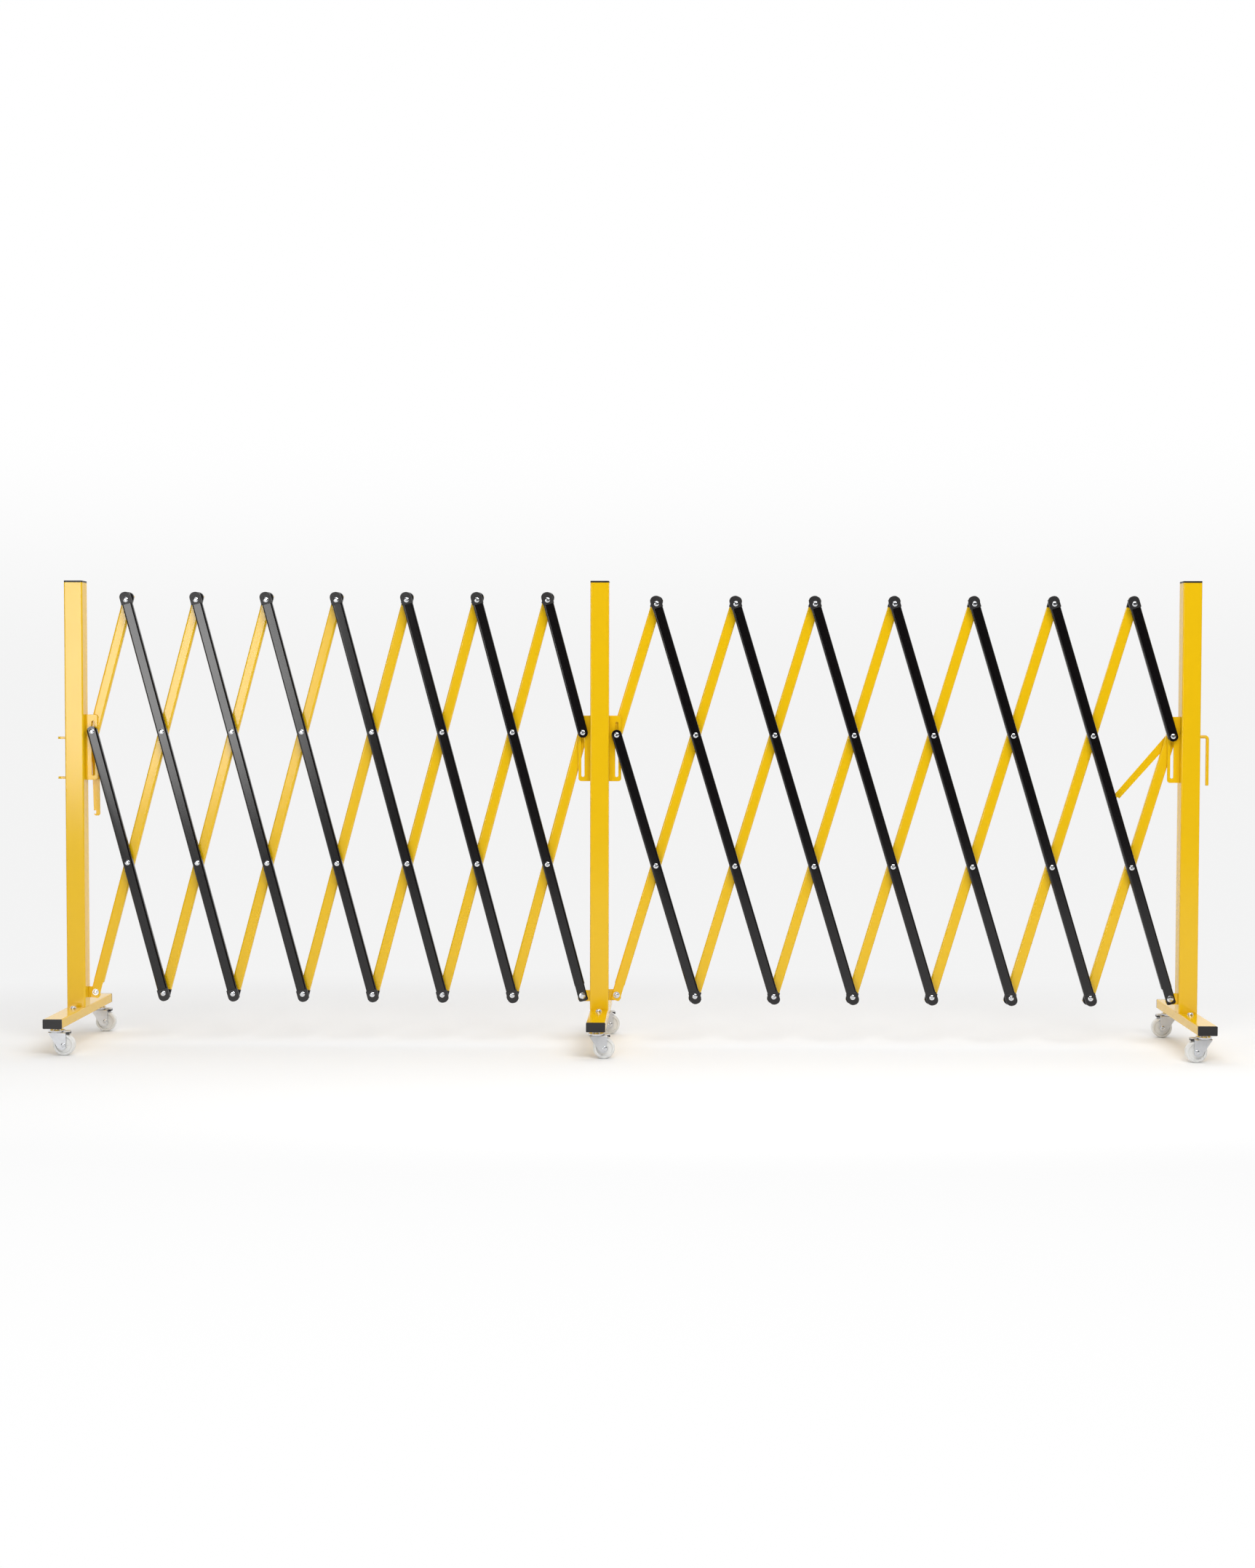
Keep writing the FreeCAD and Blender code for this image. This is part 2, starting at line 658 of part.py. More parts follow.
def round_slot_end(body, name, pivot, reach):
    """Round the end of a bar about its pivot."""
    round_end = doc.addObject("Part::Cylinder", f"{name}_round")
    bind(round_end, Radius="bar_width / 2", Height="bar_depth")
    place(round_end, z=pivot, axis=ALONG, angle="-90")
    length = doc.addObject("Part::Box", f"{name}_straight")
    bind(length, Length="bar_width", Width="bar_depth", Height=f"abs({reach})")
    place(length, x="-bar_width / 2", z=f"{pivot} + min(0; {reach})")
    keep = fused(f"{name}_outline", [round_end, length])
    rounded = doc.addObject("Part::Common", f"{name}_rounded")
    rounded.Base = body
    rounded.Tool = keep
    return rounded


def make_cap():
    """An end cap over the top of a bar, measured from the last pivot."""
    body = new_body("end_cap")
    block = sketch_on(body, "XZ_Plane", "end_cap_face", "cap_front")
    side = "cap_width / 2"
    end = "bar_tip + cap_length"
    outline(block, [
        (f"-{side}", "bar_tip"),
        (side, "bar_tip"),
        (side, f"{end} - cap_corner"),
        (f"{side} - cap_corner", end),
        (f"-{side} + cap_corner", end),
        (f"-{side}", f"{end} - cap_corner"),
    ])
    pad(body, block, "cap_front + cap_depth", turned=True)
    return body


def make_rivet():
    """A rivet through both bars of a crossing, from its head in front of the black bar."""
    head = pin_along_back("rivet_head", "rivet_head / 2", "-rivet_head_height", "0")
    shank = pin_along_back("rivet_shank", "rivet_diameter / 2", "0", "rivet_length")
    return fused("rivet", [head, shank])


def make_slot_pin():
    """A long rivet that also runs in a post's slot, with a head at its back."""
    end = "slot_pin_length"
    return fused("slot_pin", [
        pin_along_back("slot_pin_head", "rivet_head / 2", "-rivet_head_height", "0"),
        pin_along_back("slot_pin_shank", "rivet_diameter / 2", "0", end),
        pin_along_back("slot_pin_tail", "rivet_head / 2", end, f"{end} + rivet_head_height"),
    ])


def make_tab_bolt():
    """A bolt through a bar's tab end and the tab behind it, with its nut."""
    end = "tab_front + plate_thickness"
    return fused("tab_bolt", [
        pin_along_back("bolt_head", "bolt_head / 2", "-bolt_head_height", "0"),
        pin_along_back("bolt_shank", "bolt_diameter / 2", "0", end),
        pin_along_back("bolt_nut", "bolt_head / 2", end, f"{end} + bolt_head_height"),
    ])


# Kinds of bar: how many pivots each has, and what its lower and upper ends are for
BAR_KINDS = {
    "full": (4, "cap", "cap"),
    "tab": (4, "tab", "cap"),
    "long": (3, "cap", "slot"),
    "short": (2, "slot", "cap"),
}


def make_yellow_bars():
    """Yellow bars have a hole at every pivot."""
    bars = {}
    for kind, (pivots, bottom, top) in BAR_KINDS.items():
        bars[kind] = make_bar(f"yellow_{kind}", pivots, bottom, top, range(pivots))
    return bars


def make_black_bars(slot_pin):
    """Black bars carry the rivets, closed over in them; one that ends at an end post has a hole there."""
    rivet = make_rivet()
    rivets = [copy_of(rivet, f"rivet_{level}", z=f"{level} * link_pitch") for level in range(TOP_LEVEL + 1)]
    bars = {}
    for kind, (pivots, bottom, top) in BAR_KINDS.items():
        slot = {"slot": 0}.get(bottom, pivots - 1 if top == "slot" else None)
        open_hole = 0 if bottom == "tab" else slot
        held = [rivets[number] for number in range(pivots) if number != open_hole]
        holes = [] if open_hole is None else [open_hole]
        bar = make_bar(f"black_{kind}", pivots, bottom, top, holes)
        bars[kind] = fused(f"black_{kind}_riveted", [bar] + held)
        if slot is not None:
            whole = make_bar(f"black_{kind}_pinned", pivots, bottom, top, [])
            pin = copy_of(slot_pin, f"{kind}_slot_pin", z=f"{slot} * link_pitch")
            bars[f"{kind}_at_middle"] = fused(f"black_{kind}_middle", [whole, pin] + held)
    return bars


def bar_kind(colour, column):
    """The kind of a bar, from the column of its first pivot."""
    if colour == "yellow":
        kinds = {-2: "short", 0: "tab", COLUMNS - 2: "long"}
    else:
        kinds = {-1: "long", COLUMNS - 3: "tab", COLUMNS - 1: "short"}
    return kinds.get(column, "full")


def make_panel(side, bars, caps, bolt, kind_at_middle):
    """The bars of one panel; one black bar holds the pin in the middle post's slot."""
    for number in range(COLUMNS // 2 + 1):
        for colour, column in (("yellow", 2 * number - 2), ("black", 2 * number - 1)):
            kind = bar_kind(colour, column)
            pivots, bottom, top = BAR_KINDS[kind]
            pinned = colour == "black" and kind == kind_at_middle
            solids = [bars[colour][f"{kind}_at_middle" if pinned else kind]]
            if bottom == "cap":
                solids.append(caps["low"])
            if bottom == "tab":
                solids.append(bolt)
            if top == "cap":
                solids.append(caps[pivots - 1])
            # A bar that ends at a slot below starts at the slot's level, and the rest at the bottom
            level = SLOT_LEVEL if bottom == "slot" else 0
            if colour == "yellow":
                foot_column = column + level
            else:
                foot_column = min(column + TOP_LEVEL - level, COLUMNS)
            node(
                f"{side}_{colour}_bar_{number + 1}", solids,
                x=f"{side}_start + {foot_column} * {side}_step",
                y=f"{colour}_front",
                z=f"base_level + {level} * {side}_rise",
                axis=BACK if colour == "yellow" else FRONT,
                angle=f"{side}_opening",
            )


def make_panels(slot_pin):
    bars = {"yellow": make_yellow_bars(), "black": make_black_bars(slot_pin)}
    cap = make_cap()
    caps = {"low": copy_of(cap, "low_cap", axis=BACK, angle="180")}
    for level in (1, TOP_LEVEL):
        caps[level] = copy_of(cap, f"cap_{level}", z=f"{level} * link_pitch")
    bolt = make_tab_bolt()
    make_panel("left", bars, caps, bolt, "short")
    make_panel("right", bars, caps, bolt, "long")


# Latches: flat bars that hang on the end posts' slot pins and hook over the middle post's
def make_latch():
    """A latch that hangs straight down from its pivot, with its notch towards -X."""
    body = new_body("latch")
    face = sketch_on(body, "XZ_Plane", "latch_face")
    top = "latch_width / 2"
    tip = "latch_tip_width / 2"
    notch = "rivet_diameter / 2 + latch_notch_clearance"
    end = f"-(folded_gap + {notch} + latch_nose)"
    outline(face, [
        (f"-{top} + latch_corner", top),
        (f"{top} - latch_corner", top),
        (top, f"{top} - latch_corner"),
        (top, f"-{top}"),
        (tip, "-folded_gap"),
        (tip, f"{end} + latch_corner"),
        (f"{tip} - latch_corner", end),
        (f"-{tip} + latch_corner", end),
        (f"-{tip}", f"{end} + latch_corner"),
        (f"-{tip}", f"-(folded_gap + {notch})"),
        (f"-{tip} + latch_notch_depth", f"-(folded_gap + {notch})"),
        (f"-{tip} + latch_notch_depth", f"-(folded_gap - ({notch}))"),
        (f"-{tip}", f"-(folded_gap - ({notch}))"),
        (f"-{top}", f"-{top}"),
        (f"-{top}", f"{top} - latch_corner"),
    ])
    pad(body, face, "latch_thickness", turned=True)
    hole = sketch_on(body, "XZ_Plane", "latch_hole")
    many_sided(hole, "0", "0", "pin_hole")
    pocket(body, hole)
    return body


def make_latches(slot_pin):
    latch = make_latch()
    other = copy_of(latch, "latch_turned", y="latch_thickness", axis=UP, angle="180")
    slot_ends = (
        ("left", "left_start", latch, FRONT),
        ("right", f"right_start + {COLUMNS} * right_step", other, BACK),
    )
    for side, x, piece, axis in slot_ends:
        height = f"base_level + {SLOT_LEVEL} * {side}_rise"
        node(f"{side}_slot_pin", [slot_pin], x=x, y="black_front", z=height)
        node(
            f"{side}_latch", [piece],
            x=x, y="black_front + latch_front", z=height, axis=axis, angle=f"{side}_latch_swing",
        )


def check_document():
    """Stop if any object failed or any sub-part has no sound solid."""
    for thing in doc.Objects:
        if "Invalid" in thing.State or "Error" in thing.State:
            raise RuntimeError(f"{thing.Name} failed: {thing.State}")
    for label, thing in nodes.items():
        shape = thing.Shape
        if shape.isNull() or not shape.isValid() or not shape.Solids:
            raise RuntimeError(f"{label} has no sound solid")


def write_parts():
    os.makedirs("parts", exist_ok=True)
    for label, thing in nodes.items():
        thing.Shape.exportStep(f"parts/{label}.step")


make_posts()
make_feet()
make_plugs()
make_castors()
shared_slot_pin = make_slot_pin()
make_panels(shared_slot_pin)
make_latches(shared_slot_pin)
doc.recompute()
check_document()
write_parts()
print(len(nodes), "sub-parts,", sum(len(thing.Shape.Solids) for thing in nodes.values()), "solids")
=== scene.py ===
import math
from collections import namedtuple

import bmesh
import bpy
from bpy.props import FloatProperty, FloatVectorProperty, PointerProperty
from mathutils import Matrix, Vector


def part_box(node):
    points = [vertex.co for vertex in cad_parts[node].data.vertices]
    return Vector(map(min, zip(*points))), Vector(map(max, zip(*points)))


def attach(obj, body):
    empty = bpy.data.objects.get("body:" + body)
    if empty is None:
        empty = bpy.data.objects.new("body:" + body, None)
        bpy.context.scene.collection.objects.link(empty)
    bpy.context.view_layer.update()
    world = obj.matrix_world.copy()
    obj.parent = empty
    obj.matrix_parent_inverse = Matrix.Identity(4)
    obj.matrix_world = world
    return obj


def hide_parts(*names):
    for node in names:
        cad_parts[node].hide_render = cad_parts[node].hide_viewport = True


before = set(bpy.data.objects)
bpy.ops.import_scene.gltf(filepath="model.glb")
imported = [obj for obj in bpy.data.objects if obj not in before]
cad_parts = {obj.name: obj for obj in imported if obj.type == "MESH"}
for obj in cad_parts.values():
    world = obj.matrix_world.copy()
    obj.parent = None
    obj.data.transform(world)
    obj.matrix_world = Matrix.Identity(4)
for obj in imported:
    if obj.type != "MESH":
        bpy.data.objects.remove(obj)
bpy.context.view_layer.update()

bl_info = {
    "name": "Expandable Safety Barrier",
    "version": (1, 0, 0),
    "blender": (4, 5, 0),
    "location": "View3D > Sidebar > Barrier",
    "description": "Models the posts, scissor lattice, latches and castors of an expandable barrier",
    "category": "Object",
}

# The photograph's size in pixels
PHOTO_SIZE = (1725, 2156)

POSTS = ("left", "middle", "right")
PANELS = ("left", "right")
# Pivots of a panel: the last column across it, its top row, and the row that runs in the posts' slots
COLUMNS = 14
TOP_LEVEL = 3
SLOT_LEVEL = 2

MM_PER_METRE = 1000
# Places nearer to each other than this are one place
TINY = 1e-5
# Overlap or gap of two pieces that meet
HAIR = 0.02 / MM_PER_METRE
# An edge runs along an axis, and a face looks along it, from this cosine on
STRAIGHT = 0.9
# Share of a half width that a full round is bevelled by, so that its two bevels don't meet
NEARLY = 0.98
# Share of its half width that the end of a cap is rounded by
CAP_ROUND = 0.92
# Segments of a rounded corner
STEPS = {"bend": 4, "corner": 5, "plate": 6, "eye": 8, "hook": 8, "cap": 9, "end": 10}
# Sides of a round piece
FACETS = {"nut": 6, "axle": 20, "pin": 24, "bolt": 32, "race": 40, "wheel": 48}
# Edges sharper than the first angle are broken and stay sharp, and flatter than the second are dissolved
SHARP_ANGLE = math.radians(35)
FLAT_ANGLE = math.radians(1)
# Weight at which the largest faces decide the normals
LARGEST_FACES = 100


def dome(radius, rise, steps):
    """Steps of a quarter ellipse, which end a little before its pole, at the rise given."""
    turns = [math.pi / 2 * step / (steps + 1) for step in range(steps + 1)]
    height = rise / math.sin(turns[-1])
    return [
        (height * (math.sin(upper) - math.sin(lower)), radius * math.cos(upper))
        for lower, upper in zip(turns, turns[1:])
    ]


# Profiles of turned ends: each step's rise along the axis and its new radius, as shares of a radius
PROFILES = {
    "dome_bolt": ((0, 0.86), (0.242, 0.86), *dome(0.86, 0.5, 5)),
    "spindle": ((0, 1.44), (0.28, 1.44), (0.12, 1.2)),
    "race": (
        (0, 0.86), (0.046, 0.86), (0.034, 0.977), (0.029, 1), (0.08, 1), (0.029, 0.977), (0.011, 0.931),
        (0, 0.829), (-0.069, 0.737), (-0.023, 0.543), (0.011, 0.486), (0.126, 0.446), (0.023, 0.389),
    ),
    "axle": ((0, 1.533), (0.2, 1.533), (0.2, 1.233), (0, 0.867), (-0.533, 0.733)),
    "wheel": (
        (0.098, 0.978), (0.053, 0.924), (0.027, 0.849), (0, 0.769), (-0.107, 0.707), (0, 0.391),
        (0.107, 0.347), (0, 0.276), (-0.027, 0.249),
    ),
    "rivet_head": (
        (0, 1), (0.218, 1), (0.109, 0.855), (0.055, 0.636), (0.018, 0.491), (-0.109, 0.418), (0, 0.218),
        (0.073, 0.164),
    ),
    "rivet_tail": ((0, 0.764), (0.145, 0.764), (0.127, 0.618), (0.055, 0.364)),
    "yellow_bolt": (
        (0, 1), (0.157, 1), (0.014, 0.971), (0, 0.657), (0.171, 0.657), (0.143, 0.514), (0.071, 0.286),
    ),
    "black_bolt": ((0, 1), (0.2, 1), (0.143, 0.886), (0.071, 0.643), (0.014, 0.286)),
}


def linear(code):
    """Turn an sRGB hex colour into linear values."""
    channels = [int(code[place:place + 2], 16) / 255 for place in (0, 2, 4)]
    return tuple(c / 12.92 if c <= 0.04045 else ((c + 0.055) / 1.055) ** 2.4 for c in channels)


def length(label, words, millimetres):
    metres = millimetres / MM_PER_METRE
    return FloatProperty(name=label, description=words, default=metres, min=0.0, unit="LENGTH", precision=5)


def angle(label, words, degrees):
    return FloatProperty(name=label, description=words, default=math.radians(degrees), subtype="ANGLE")


def colour(label, words, code):
    return FloatVectorProperty(
        name=label, description=words, default=linear(code), size=3, min=0.0, max=1.0, subtype="COLOR"
    )


class BarrierSizes(bpy.types.PropertyGroup):
    """Sizes of the barrier's pieces."""

    post_width: length("Post Width", "Side of the square post tube", 40)
    post_corner: length("Post Corner", "Outer corner radius of the post tube", 3)
    post_wall: length("Post Wall", "Wall of the post and foot tubes", 2)
    foot_height: length("Foot Height", "Height of the foot tube", 20)
    foot_length: length("Foot Length", "Length of the foot tube", 400)
    foot_corner: length("Foot Corner", "Outer corner radius of the foot tube", 2)
    post_length: length("Post Length", "Length of the post tube", 916)
    plug_flange: length("Plug Flange", "Height of the post plug above its tube", 4)
    plug_hold: length("Plug Hold", "Plug inside its tube", 14)
    plug_play: length("Plug Play", "Gap between a plug and its tube", 0.2)
    plug_break: length("Plug Break", "Edge radius of the post plug", 0.8)
    foot_plug_flange: length("Foot Plug Flange", "Thickness of a foot plug outside its tube", 3)
    foot_plug_break: length("Foot Plug Break", "Edge radius of a foot plug", 0.6)
    castor_height: length("Castor Height", "Floor to the underside of the foot", 60)
    bolt_place: length("Bolt Place", "Post's middle to its base bolt", 42)
    bolt_radius: length("Bolt Radius", "Radius of the base bolt's washer", 6.6)
    washer: length("Washer", "Thickness of the base bolt's washer", 1.2)
    castor_inset: length("Castor Inset", "Foot's end to the swivel axis of its castor", 32.5)
    castor_trail: length("Castor Trail", "Swivel axis to axle", 16)
    wheel_radius: length("Wheel Radius", "Radius of a castor wheel", 22.5)
    wheel_width: length("Wheel Width", "Castor wheel along its axle", 17)
    fork_gap: length("Fork Gap", "Gap between the wheel and a fork leg", 1)
    fork_sheet: length("Fork Sheet", "Sheet thickness of the fork", 2.5)
    fork_top: length("Fork Top", "Foot's underside to the fork's top", 10.4)
    fork_front: length("Fork Front", "Swivel axis to the fork's leading edge", 15.7)
    fork_lip: length("Fork Lip", "Upright part of the fork's leading edge", 1.5)
    fork_lean: angle("Fork Lean", "Lean of the fork's leading edge", 33.1)
    fork_back: length("Fork Back", "Axle to the fork's trailing edge", 5.2)
    fork_low: length("Fork Low", "Axle to the fork's lower end", 9.8)
    fork_round: length("Fork Round", "Corner radius of the fork's lower end", 6.5)
    fork_bend: length("Fork Bend", "Bend radius of the fork's sheet", 3)
    tail_reach: length("Tail Reach", "Axle to the end of the fork's tail", 12.8)
    tail_sheet: length("Tail Sheet", "Sheet thickness of the fork's tail", 1.8)
    tail_corner: length("Tail Corner", "Corner radius of the fork's tail", 4)
    sheet_break: length("Sheet Break", "Edge radius of forks, coupling eyes and nuts", 0.5)
    # Sizes of a black wedge of painted shade that stands for the shaded gap under the fork's tail
    shade_wedge_length: length("Stop Length", "Rubber stop under the fork's tail", 6.8)
    shade_wedge_front: length("Stop Front", "Height of the rubber stop next to the fork", 2)
    shade_wedge_back: length("Stop Back", "Height of the rubber stop at its end", 4.5)
    shade_wedge_break: length("Stop Break", "Edge radius of the rubber stop", 0.4)
    race_radius: length("Race Radius", "Radius of the ball race", 17.5)
    spindle_radius: length("Spindle Radius", "Radius of a castor's spindle", 5)
    spindle_hold: length("Spindle Hold", "Spindle inside the foot", 4)
    spindle_reach: length("Spindle Reach", "Spindle below the foot", 11)
    axle_radius: length("Axle Radius", "Radius of a wheel's axle", 3)
    wheel_shoulder: length("Wheel Shoulder", "Rounded part of the tread at each side", 4)
    link_pitch: length("Link Pitch", "Distance between pivots along a bar", 293)
    left_opening: angle("Left Opening", "Lean of the left panel's bars", 14.95)
    right_opening: angle("Right Opening", "Lean of the right panel's bars", 16.77)
    min_opening: angle("Least Opening", "Lean of the bars in a folded panel", 2.45)
    max_opening: angle("Most Opening", "Lean of the bars in a panel that is fully open", 36)
    base_level: length("Base Level", "Height of the lowest pivots", 110)
    pivot_offset: length("Pivot Offset", "Post's middle to its pivots", 36.4)
    bar_width: length("Bar Width", "Width of a lattice bar", 22)
    bar_depth: length("Bar Depth", "Depth of a bar's channel", 10)
    bar_wall: length("Bar Wall", "Sheet thickness of a bar", 1.5)
    bar_edge: length("Bar Edge", "Radius of a bar's long edges", 3.7)
    bar_break: length("Bar Break", "Chamfer of a bar's cut edges", 0.3)
    bar_tip: length("Bar Tip", "Bar beyond its last pivot", 12)
    bar_gap: length("Bar Gap", "Gap between black and yellow bars", 6)
    flange_trim: length("Flange Trim", "Flanges cut back from a tab pivot", 24)
    cap_width: length("Cap Width", "End cap across the bar", 24)
    cap_inside: length("Cap Sleeve", "End cap back from the last pivot", 9.5)
    cap_outside: length("Cap End", "End cap beyond the last pivot", 17)
    cap_front: length("Cap Front", "End cap in front of the web", 0.9)
    cap_depth: length("Cap Depth", "End cap behind the web's front", 6.5)
    cap_break: length("Cap Break", "Edge radius of an end cap", 0.9)
    rivet_radius: length("Rivet Radius", "Radius of a rivet's shank", 3)
    rivet_head: length("Rivet Head", "Radius of a rivet's head", 5.5)
    plate_reach: length("Plate Reach", "Slot plates and tabs out from the post", 26)
    plate_thickness: length("Plate Thickness", "Slot plates and tabs", 4)
    plate_corner: length("Plate Corner", "Corner radius of slot plates and tabs", 6)
    plate_break: length("Plate Break", "Edge radius of slot plates and tabs", 0.6)
    plate_foot: length("Plate Foot", "Slot plate below the lowest pin", 12.6)
    plate_head: length("Plate Head", "Slot plate above the highest pin", 17.1)
    slot_width: length("Slot Width", "Width of a guide slot", 6.6)
    tab_height: length("Tab Height", "Height of a bottom tab", 24)
    tab_gap: length("Tab Gap", "Gap between a tab and the web in front of it", 0.3)
    tab_bolt: length("Tab Bolt", "Radius of a tab bolt's shank", 4)
    tab_bolt_head: length("Tab Bolt Head", "Radius of a tab bolt's head", 7)
    tab_corner: length("Tab Corner", "Corner radius of a bar's tab end", 6)
    nut_radius: length("Nut Radius", "Radius of a tab bolt's nut over its corners", 6.7)
    nut_height: length("Nut Height", "Height of a tab bolt's nut", 3.6)
    pin_spare: length("Pin Spare", "Slot pin beyond the yellow bar", 4)
    latch_break: length("Latch Break", "Edge radius of a latch", 0.8)
    rod_radius: length("Rod Radius", "Radius of the coupling rod", 3.5)
    hook_level: length("Hook Level", "Height of the coupling rod's top run", 670)
    hook_reach: length("Hook Reach", "Post's side to the middle of the hanging rod", 18.48)
    hook_bend: length("Hook Bend", "Bend radius of the coupling rod's middle line", 5.5)
    hook_drop: length("Hook Drop", "Coupling rod's end below its top run", 104)
    hook_chamfer: length("Hook Chamfer", "Chamfer of the coupling rod's end", 0.875)
    eye_reach: length("Eye Reach", "Post's side to the middle of a coupling eye", 12)
    eye_radius: length("Eye Radius", "Half the width of a coupling eye", 8)
    eye_hole: length("Eye Hole", "Radius of a coupling eye's hole", 4)
    eye_thickness: length("Eye Thickness", "Thickness of a coupling eye", 5)
    eye_spacing: length("Eye Spacing", "Distance between the coupling eyes", 86)


class BarrierFinish(bpy.types.PropertyGroup):
    """Colours of the barrier's finishes."""

    yellow: colour("Yellow Coat", "Signal yellow powder coat", "F0C110")
    black: colour("Black Coat", "Black powder coat", "110E0F")
    plastic: colour("Black Plastic", "Moulded caps and plugs", "1B191A")
    zinc: colour("Zinc", "Zinc plate", "E2E4E8")
    nylon: colour("Nylon", "Natural nylon of the wheels", "ECECEA")
    floor: colour("Floor", "Studio paper", "F7F7F7")
    # Painted shade: the floor in front of the paper is painted dark, where the lamps' light falls off
    painted_shade_floor: colour("Ground", "Studio floor in front of the paper", "202020")


def sizes():
    return bpy.context.scene.barrier_sizes


def finish():
    return bpy.context.scene.barrier_finish


# Modelling: small helpers around the operators
def choose(*things):
    """Select these pieces and nothing else, with the first one active."""
    bpy.ops.object.select_all(action="DESELECT")
    for thing in things:
        thing.select_set(True)
    bpy.context.view_layer.objects.active = things[0]


def edit(thing):
    choose(thing)
    bpy.ops.object.mode_set(mode="EDIT")


def close():
    bpy.ops.object.mode_set(mode="OBJECT")


def pick_faces(test):
    """Select the faces whose middle and normal pass a test."""
    bpy.ops.mesh.select_mode(type="FACE")
    bpy.ops.mesh.select_all(action="DESELECT")
    mesh = bmesh.from_edit_mesh(bpy.context.object.data)
    mesh.normal_update()
    for face in mesh.faces:
        face.select_set(test(face.calc_center_median(), face.normal))
    bmesh.update_edit_mesh(bpy.context.object.data)


def pick_edges(test):
    """Select the edges whose middle and direction pass a test."""
    bpy.ops.mesh.select_mode(type="EDGE")
    bpy.ops.mesh.select_all(action="DESELECT")
    mesh = bmesh.from_edit_mesh(bpy.context.object.data)
    for edge in mesh.edges:
        start, end = (vertex.co for vertex in edge.verts)
        edge.select_set(test((start + end) / 2, (end - start).normalized()))
    bmesh.update_edit_mesh(bpy.context.object.data)


def edges(way, **plane):
    """A test for the edges along one axis that lie in a plane, such as z=0, or anywhere."""
    def test(middle, along):
        inside = all(abs(getattr(middle, axis) - place) < TINY for axis, place in plane.items())
        return inside and abs(getattr(along, way)) > STRAIGHT
    return test


def settle(name):
    """Name a new primitive and put its place and size into its mesh."""
    thing = bpy.context.object
    thing.name = name
    bpy.ops.object.transform_apply(location=True, rotation=True, scale=True)
    return thing


def block(name, low, high):
    """Start a piece from a cube that fills a box."""
    low, high = Vector(low), Vector(high)
    bpy.ops.object.select_all(action="DESELECT")
    bpy.ops.mesh.primitive_cube_add(size=1, location=(low + high) / 2, scale=high - low)
    return settle(name)


def rod(name, start, end, radius, sides):
    """Start a piece from a cylinder between two points."""
    start, end = Vector(start), Vector(end)
    way = end - start
    bpy.ops.object.select_all(action="DESELECT")
    bpy.ops.mesh.primitive_cylinder_add(
        vertices=sides, radius=radius, depth=way.length, location=(start + end) / 2,
        rotation=way.to_track_quat("Z", "Y").to_euler(),
    )
    return settle(name)


def bevel(thing, test, radius, segments):
    """Round the edges that pass a test."""
    edit(thing)
    pick_edges(test)
    bpy.ops.mesh.bevel(offset=radius, segments=segments, affect="EDGES")
    close()


def slice_off(thing, place, way):
    """Cut away what lies beyond a plane, and close the cut."""
    edit(thing)
    bpy.ops.mesh.select_all(action="SELECT")
    bpy.ops.mesh.bisect(plane_co=place, plane_no=way, use_fill=True, clear_outer=True)
    close()


def draw_out(thing, way, profile, size):
    """Draw the end of a cylinder out along a profile, whose shares are of the size given."""
    end = max(vertex.co.dot(way) for vertex in thing.data.vertices)
    edit(thing)
    pick_faces(lambda middle, normal: normal.dot(way) > STRAIGHT and middle.dot(way) > end - TINY)
    mesh = bmesh.from_edit_mesh(thing.data)
    face = next(face for face in mesh.faces if face.select)
    centre = face.calc_center_median()
    radius = (face.verts[0].co - centre).length
    for rise, share in PROFILES[profile]:
        step = way * rise * size
        bpy.ops.mesh.extrude_region_move(TRANSFORM_OT_translate={"value": step})
        centre = centre + step
        ratio = share * size / radius
        bpy.ops.transform.resize(value=[1 if part else ratio for part in way], center_override=centre)
        radius = share * size
    close()


def modify(thing, kind, **settings):
    """Add a modifier and apply it."""
    bpy.context.view_layer.objects.active = thing
    modifier = thing.modifiers.new(kind.lower(), kind)
    for name, value in settings.items():
        setattr(modifier, name, value)
    bpy.ops.object.modifier_apply(modifier=modifier.name)


def shell(thing, test, wall):
    """Open a shape at the faces that pass a test, and give the others a wall on their inside."""
    edit(thing)
    pick_faces(test)
    bpy.ops.mesh.delete(type="FACE")
    close()
    modify(thing, "SOLIDIFY", thickness=wall, offset=-1, use_even_offset=True)


def cut(thing, cutter, operation="DIFFERENCE"):
    """Cut one mesh by another, which is then removed."""
    modify(thing, "BOOLEAN", object=cutter, operation=operation, solver="EXACT")
    bpy.data.objects.remove(cutter)


def soften(thing, radius=0.0, segments=2):
    """Break the sharp edges of a finished shape, if a radius is given, shade it and give it back."""
    if radius:
        modify(
            thing, "BEVEL", width=radius, segments=segments, limit_method="ANGLE", angle_limit=SHARP_ANGLE,
            use_clamp_overlap=True,
        )
    choose(thing)
    bpy.ops.object.shade_smooth_by_angle(angle=SHARP_ANGLE)
    # Large flat faces keep their own normal next to rounded edges
    modify(thing, "WEIGHTED_NORMAL", mode="FACE_AREA", weight=LARGEST_FACES, keep_sharp=True)
    return thing


def turned(name, start, end, radius, sides, size, start_profile=None, end_profile=None):
    """A turned piece: a cylinder whose ends are drawn out along profiles."""
    thing = rod(name, start, end, radius, sides)
    way = (Vector(end) - Vector(start)).normalized()
    if start_profile:
        draw_out(thing, -way, start_profile, size)
    if end_profile:
        draw_out(thing, way, end_profile, size)
    return soften(thing)


def join(name, things):
    """Make one piece out of several meshes."""
    choose(*things)
    if len(things) > 1:
        bpy.ops.object.join()
    things[0].name = name
    return things[0]


def copy(thing, name, place=None):
    """Repeat a mesh at another place, with the place in its own mesh."""
    mesh = thing.data.copy()
    if place is not None:
        mesh.transform(place)
    other = bpy.data.objects.new(name, mesh)
    bpy.context.collection.objects.link(other)
    return other


def discard(things):
    for thing in things:
        bpy.data.objects.remove(thing)


